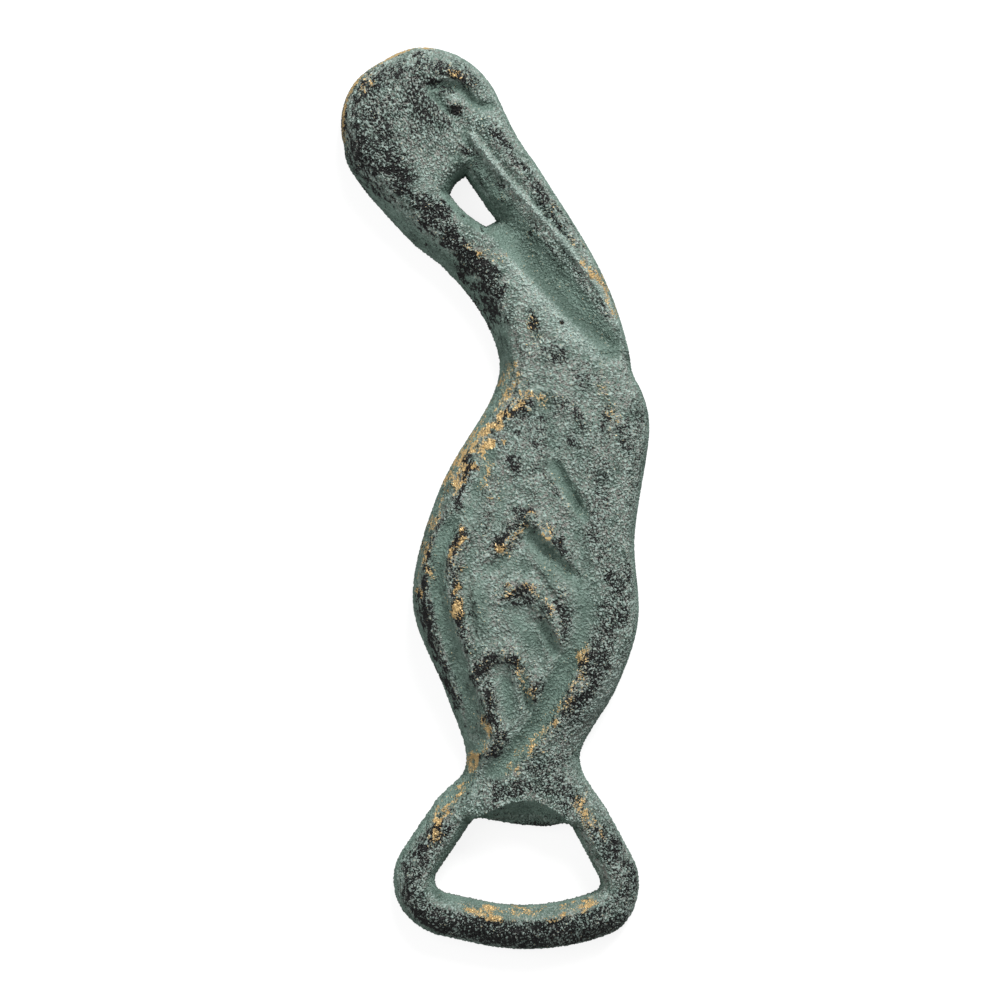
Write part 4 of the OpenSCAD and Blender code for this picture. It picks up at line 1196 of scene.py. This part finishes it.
    @staticmethod
    def _fill(mesh: bpy.types.Mesh, points: Array, wide: int, back_wide: int, rows: int) -> None:
        """Put the grids into the mesh: quads in front and back, quads along the walls, one cap at each end.

        Args:
            mesh: The empty mesh.
            points: Front points row by row, then back points.
            wide: Front points in a row.
            back_wide: Back points in a row.
            rows: Number of rows.
        """
        f = np.arange(rows * wide).reshape(rows, wide)
        k = rows * wide + np.arange(rows * back_wide).reshape(rows, back_wide)
        quads = [
            (f[:-1, :-1], f[1:, :-1], f[1:, 1:], f[:-1, 1:]),
            (k[:-1, :-1], k[:-1, 1:], k[1:, 1:], k[1:, :-1]),
            (f[:-1, 0], k[:-1, 0], k[1:, 0], f[1:, 0]),
            (f[:-1, -1], f[1:, -1], k[1:, -1], k[:-1, -1])]
        sheets = [np.stack([side.ravel() for side in quad], 1) for quad in quads]
        faces = np.vstack(sheets).tolist()
        faces.append(np.concatenate([f[0], k[0, ::-1]]).tolist())
        faces.append(np.concatenate([k[-1], f[-1, ::-1]]).tolist())
        mesh.from_pydata(points.tolist(), [], faces)
        flat_from = len(sheets[0]) + len(sheets[1])
        sharp = np.zeros(len(faces), bool)
        sharp[flat_from:] = True
        mesh.attributes.new("sharp_face", "BOOLEAN", "FACE").data.foreach_set("value", sharp)
        mesh.update()


def linear(colour: Triple) -> tuple[float, float, float, float]:
    """A colour written as 0 to 255 screen values, as the linear colour that shaders take."""
    c = np.asarray(colour, float) / 255
    line = np.where(c <= 0.04045, c / 12.92, ((c + 0.055) / 1.055)**2.4)
    return (float(line[0]), float(line[1]), float(line[2]), 1.0)


class NodeSheet:
    """Short ways to add shader nodes to a material and link them."""

    noise_roughness: float = 0.6

    def __init__(self, tree: bpy.types.NodeTree) -> None:
        """Keep the tree."""
        self.tree = tree

    def add(self, kind: str, **settings: object) -> bpy.types.Node:
        """Add a node of a kind and set its own settings."""
        node = self.tree.nodes.new("ShaderNode" + kind)
        for name, value in settings.items():
            setattr(node, name, value)
        return node

    def put(self, socket: Socket, value: object) -> None:
        """Link a socket to an output, or set its value."""
        if isinstance(value, Socket):
            self.tree.links.new(value, socket)
        else:
            socket.default_value = value

    def math(self, operation: str, a: object, b: object = 0.0, c: object = 0.0) -> Socket:
        """The result of a math node on up to three values."""
        node = self.add("Math", operation=operation)
        for socket, value in zip(node.inputs, (a, b, c)):
            self.put(socket, value)
        return node.outputs[0]

    def step(self, value: object, low: float, high: float) -> Socket:
        """A smooth step of a value from 0 at low to 1 at high."""
        node = self.add("MapRange", interpolation_type="SMOOTHSTEP")
        for name, given in (("Value", value), ("From Min", low), ("From Max", high)):
            self.put(node.inputs[name], given)
        return node.outputs[0]

    def blend(self, share: object, a: object, b: object) -> Socket:
        """A colour mixed from a to b by a share."""
        node = self.add("Mix", data_type="RGBA")
        for socket, value in ((node.inputs[0], share), (node.inputs[6], a), (node.inputs[7], b)):
            self.put(socket, value)
        return node.outputs[2]

    def noise(self, where: Socket, millimetres: float, detail: float) -> Socket:
        """Noise with features of about the given size, from 0 to 1."""
        node = self.add("TexNoise", noise_dimensions="3D")
        self.put(node.inputs["Vector"], where)
        self.put(node.inputs["Scale"], 1 / (millimetres * MILLIMETRE))
        self.put(node.inputs["Detail"], detail)
        self.put(node.inputs["Roughness"], self.noise_roughness)
        return node.outputs[0]

    def layer(self, name: str) -> Socket:
        """A mesh attribute of the piece, as a value."""
        return self.add("Attribute", attribute_type="GEOMETRY", attribute_name=name).outputs["Fac"]


@dataclass(frozen=True)
class PatinaFinish:
    """Painted verdigris on cast iron: green washes, black rubbed into the grain, gold on the high spots,
    painted shade and painted highlights.

    Sizes of the noises are in millimetres. A soft value is half the width of a mask's step, and a range is
    where a step starts and ends.
    """

    name: str = "verdigris_on_iron"
    # Dark green of the random wash, and also the colour of the painted shade.
    shade: Triple = (72, 90, 81)
    green: Triple = (106, 127, 117)
    # Lighter green on the grain's tops, partly paint and partly painted highlight.
    bloom_and_highlight: Triple = (166, 185, 178)
    grey: Triple = (129, 126, 121)
    wash: Triple = (42, 43, 42)
    black: Triple = (12, 12, 12)
    gold: Triple = (180, 154, 108)
    wash_share: float = 0.5
    wash_size: float = 3.5
    wash_range: Pair = (0.25, 0.62)
    tinge_size: float = 0.5
    tinge_range: Pair = (0.32, 0.68)
    fine_size: float = 0.42
    fine_spread: float = 0.9
    top_grain: float = 0.75
    top_range: Pair = (0.25, 1.05)
    plain_dulls: float = 0.75
    black_gain: float = 0.75
    black_least: float = 0.1
    black_grain: float = 0.6
    black_soft: float = 0.07
    net_sharpness: float = 8.5
    gold_size: float = 0.25
    gold_spread: float = 1.2
    gold_least: float = 0.2
    gold_grain: float = 0.55
    gold_soft: float = 0.05
    bump_size: float = 0.26
    bump_depth: float = 0.05
    bump_strength: float = 0.35
    roughness: float = 0.6
    roughness_least: float = 0.25
    black_roughness: float = 0.55
    gold_roughness: float = 0.4
    gold_metal: float = 0.3
    specular: float = 0.22

    def material(self) -> bpy.types.Material:
        """Build the finish.

        Returns:
            The material. Black shows where the grain and a noise are lower than its coverage, gold where the
            grain's tops and a noise pass its own, and the green turns lighter on the grain's tops, partly as
            painted highlight, and darker with painted shade.
        """
        made = bpy.data.materials.new(self.name)
        made.use_nodes = True
        made.node_tree.nodes.clear()
        sheet = NodeSheet(made.node_tree)
        where = sheet.add("TexCoord").outputs["Object"]
        grain = sheet.layer("grain")
        fine = sheet.noise(where, self.fine_size, 1.0)
        fine = sheet.math("MULTIPLY_ADD", fine, self.fine_spread, -self.fine_spread / 2)
        plain = sheet.layer("plain")
        black = self._black(sheet, grain, fine)
        gold = self._gold(sheet, where, grain)
        colour = self._green(sheet, where, grain, fine, plain)
        wash = sheet.math("MULTIPLY", sheet.layer("black"), self.wash_share)
        colour = sheet.blend(wash, colour, linear(self.wash))
        colour = sheet.blend(black, colour, linear(self.black))
        colour = sheet.blend(gold, colour, linear(self.gold))
        shader = sheet.add("BsdfPrincipled")
        shader.inputs["Specular IOR Level"].default_value = self.specular
        sheet.put(shader.inputs["Base Color"], colour)
        rough = sheet.math("MULTIPLY_ADD", black, self.black_roughness - self.roughness, self.roughness)
        rough = sheet.math("MULTIPLY_ADD", gold, self.gold_roughness - self.roughness, rough)
        sheet.put(shader.inputs["Roughness"], sheet.math("MAXIMUM", rough, self.roughness_least))
        sheet.put(shader.inputs["Metallic"], sheet.math("MULTIPLY", gold, self.gold_metal))
        bump = sheet.add("Bump")
        sheet.put(bump.inputs["Strength"], self.bump_strength)
        sheet.put(bump.inputs["Distance"], self.bump_depth * MILLIMETRE)
        sheet.put(bump.inputs["Height"], sheet.noise(where, self.bump_size, 1.0))
        sheet.put(shader.inputs["Normal"], bump.outputs[0])
        out = sheet.add("OutputMaterial")
        sheet.put(out.inputs["Surface"], shader.outputs[0])
        return made

    def _black(self, sheet: NodeSheet, grain: object, fine: object) -> Socket:
        """Mask of the black: a soft step where its level passes the grain and a net of fine lines."""
        level = sheet.math("MULTIPLY_ADD", sheet.layer("black"), self.black_gain, self.black_least)
        net = sheet.math("MULTIPLY", sheet.math("ABSOLUTE", fine), self.net_sharpness)
        net = sheet.math("MULTIPLY", sheet.math("TANH", net), 1 - self.black_grain)
        speck = sheet.math("ADD", sheet.math("MULTIPLY", grain, self.black_grain), net)
        return sheet.step(sheet.math("SUBTRACT", level, speck), -self.black_soft, self.black_soft)

    def _gold(self, sheet: NodeSheet, where: object, grain: object) -> Socket:
        """Mask of the gold: a step where its coverage passes a fine noise, less a share of the grain."""
        noise = sheet.noise(where, self.gold_size, 1.0)
        noise = sheet.math("MULTIPLY_ADD", noise, self.gold_spread, self.gold_least)
        speck = sheet.math("MULTIPLY_ADD", grain, -self.gold_grain, noise)
        more = sheet.math("SUBTRACT", sheet.layer("gold"), speck)
        return sheet.step(more, -self.gold_soft, self.gold_soft)

    def _green(self, sheet: NodeSheet, where: object, grain: object, fine: object, plain: object) -> object:
        """The green: dark to mid in the wash, darker with painted shade, and lighter on the grain's tops
        where the surface is open, partly as painted highlight.
        """
        wash = sheet.step(sheet.noise(where, self.wash_size, 3.0), *self.wash_range)
        tinge = sheet.step(sheet.noise(where, self.tinge_size, 1.0), *self.tinge_range)
        tinge = sheet.math("MULTIPLY", tinge, sheet.math("SUBTRACT", 1.0, plain))
        colour = sheet.blend(tinge, linear(self.green), linear(self.grey))
        colour = sheet.blend(wash, linear(self.shade), colour)
        # Painted shade from the shade layer.
        colour = sheet.blend(sheet.layer("shade"), colour, linear(self.shade))
        # The grain's tops turn lighter. Where highlights are painted the grain was raised, so there this is
        # painted highlight.
        top = sheet.step(sheet.math("MULTIPLY_ADD", grain, self.top_grain, fine), *self.top_range)
        open_face = sheet.math("MULTIPLY_ADD", plain, -self.plain_dulls, 1.0)
        return sheet.blend(sheet.math("MULTIPLY", top, open_face), colour, linear(self.bloom_and_highlight))


@dataclass(frozen=True)
class Studio:
    """White floor, soft light from the upper right, and a camera straight above the front, in metres."""

    frame_width: float = 0.18415
    away: float = 0.7
    aim: Pair = (0.00089, -0.00022)
    sensor: float = 36.0
    floor_half: float = 1.6
    floor_grey: float = 0.2
    floor_glow: float = 0.86
    key_at: Triple = (0.22, 0.56, 0.52)
    key_power: float = 8.3
    key_size: float = 0.3
    fill_at: Triple = (-0.45, 0.2, 0.7)
    fill_share: float = 0.3
    fill_size: float = 0.6
    sky: float = 0.46

    def build(self) -> None:
        """Set the camera, the floor, the lights and the colour view."""
        bpy.context.scene.view_settings.view_transform = "Standard"
        self._camera()
        self._floor()
        self._world()
        self._lamp("key_light", self.key_at, self.key_power, self.key_size)
        self._lamp("fill_light", self.fill_at, self.key_power * self.fill_share, self.fill_size)

    def _camera(self) -> None:
        """A long lens straight above, as wide as the photographed square at the back of the casting."""
        lens = bpy.data.cameras.new("camera")
        lens.sensor_width = self.sensor
        lens.lens = self.sensor * self.away / self.frame_width
        camera = bpy.data.objects.new("camera", lens)
        camera.location = (self.aim[0], self.aim[1], self.away)
        bpy.context.scene.collection.objects.link(camera)
        bpy.context.scene.camera = camera

    def _lamp(self, name: str, where: Triple, power: float, size: float) -> None:
        """A square area light aimed at the casting."""
        light = bpy.data.lights.new(name, "AREA")
        light.energy = power
        light.size = size
        lamp = bpy.data.objects.new(name, light)
        lamp.location = where
        lamp.rotation_euler = Vector(where).to_track_quat("Z", "Y").to_euler()
        bpy.context.scene.collection.objects.link(lamp)

    def _world(self) -> None:
        """An even sky, plain white where the camera or a reflection sees it."""
        world = bpy.data.worlds.new("studio")
        world.use_nodes = True
        bpy.context.scene.world = world
        world.node_tree.nodes.clear()
        sheet = NodeSheet(world.node_tree)
        ray = sheet.add("LightPath")
        seen = sheet.math("MAXIMUM", ray.outputs["Is Camera Ray"], ray.outputs["Is Glossy Ray"])
        back = sheet.add("Background")
        sheet.put(back.inputs["Strength"], sheet.math("MULTIPLY_ADD", seen, 1 - self.sky, self.sky))
        sheet.put(sheet.add("OutputWorld").inputs["Surface"], back.outputs[0])

    def _floor(self) -> None:
        """A white sheet under the casting that keeps its shadow, and that is clear from below."""
        h = self.floor_half
        mesh = bpy.data.meshes.new("floor")
        mesh.from_pydata([(-h, -h, 0), (h, -h, 0), (h, h, 0), (-h, h, 0)], [], [(0, 1, 2, 3)])
        floor = bpy.data.objects.new("floor", mesh)
        bpy.context.scene.collection.objects.link(floor)
        paper = bpy.data.materials.new("white_paper")
        paper.use_nodes = True
        paper.node_tree.nodes.clear()
        sheet = NodeSheet(paper.node_tree)
        ray = sheet.add("LightPath")
        matt = sheet.add("BsdfDiffuse")
        matt.inputs["Color"].default_value = (self.floor_grey, self.floor_grey, self.floor_grey, 1)
        glow = sheet.add("Emission")
        seen = sheet.math("MULTIPLY", ray.outputs["Is Camera Ray"], self.floor_glow)
        sheet.put(glow.inputs["Strength"], seen)
        both = sheet.add("AddShader")
        sheet.put(both.inputs[0], matt.outputs[0])
        sheet.put(both.inputs[1], glow.outputs[0])
        clear = sheet.add("BsdfTransparent")
        side = sheet.add("MixShader")
        sheet.put(side.inputs[0], sheet.add("NewGeometry").outputs["Backfacing"])
        sheet.put(side.inputs[1], both.outputs[0])
        sheet.put(side.inputs[2], clear.outputs[0])
        sheet.put(sheet.add("OutputMaterial").inputs["Surface"], side.outputs[0])
        mesh.materials.append(paper)
        floor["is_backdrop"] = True


def main() -> None:
    """Load the frame, build the studio and every zone of the casting, and report each piece."""
    logging.basicConfig(level=logging.INFO, format="%(message)s")
    bpy.ops.wm.read_factory_settings(use_empty=True)
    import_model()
    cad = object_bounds()
    Studio().build()
    view = Viewpoint()
    plan = Plan(CastingSizes())
    relief, grain, patina = Relief(plan, view), SandGrain(), Patina(view)
    finish = PatinaFinish().material()
    low, high = np.array(cad[0]), np.array(cad[1])
    for zone in Zone:
        piece = CastZone(zone, plan, relief, grain, patina, low, high).build(finish)
        LOG.info("%s: %d faces", piece.name, len(piece.data.polygons))


if __name__ == "__main__":
    main()
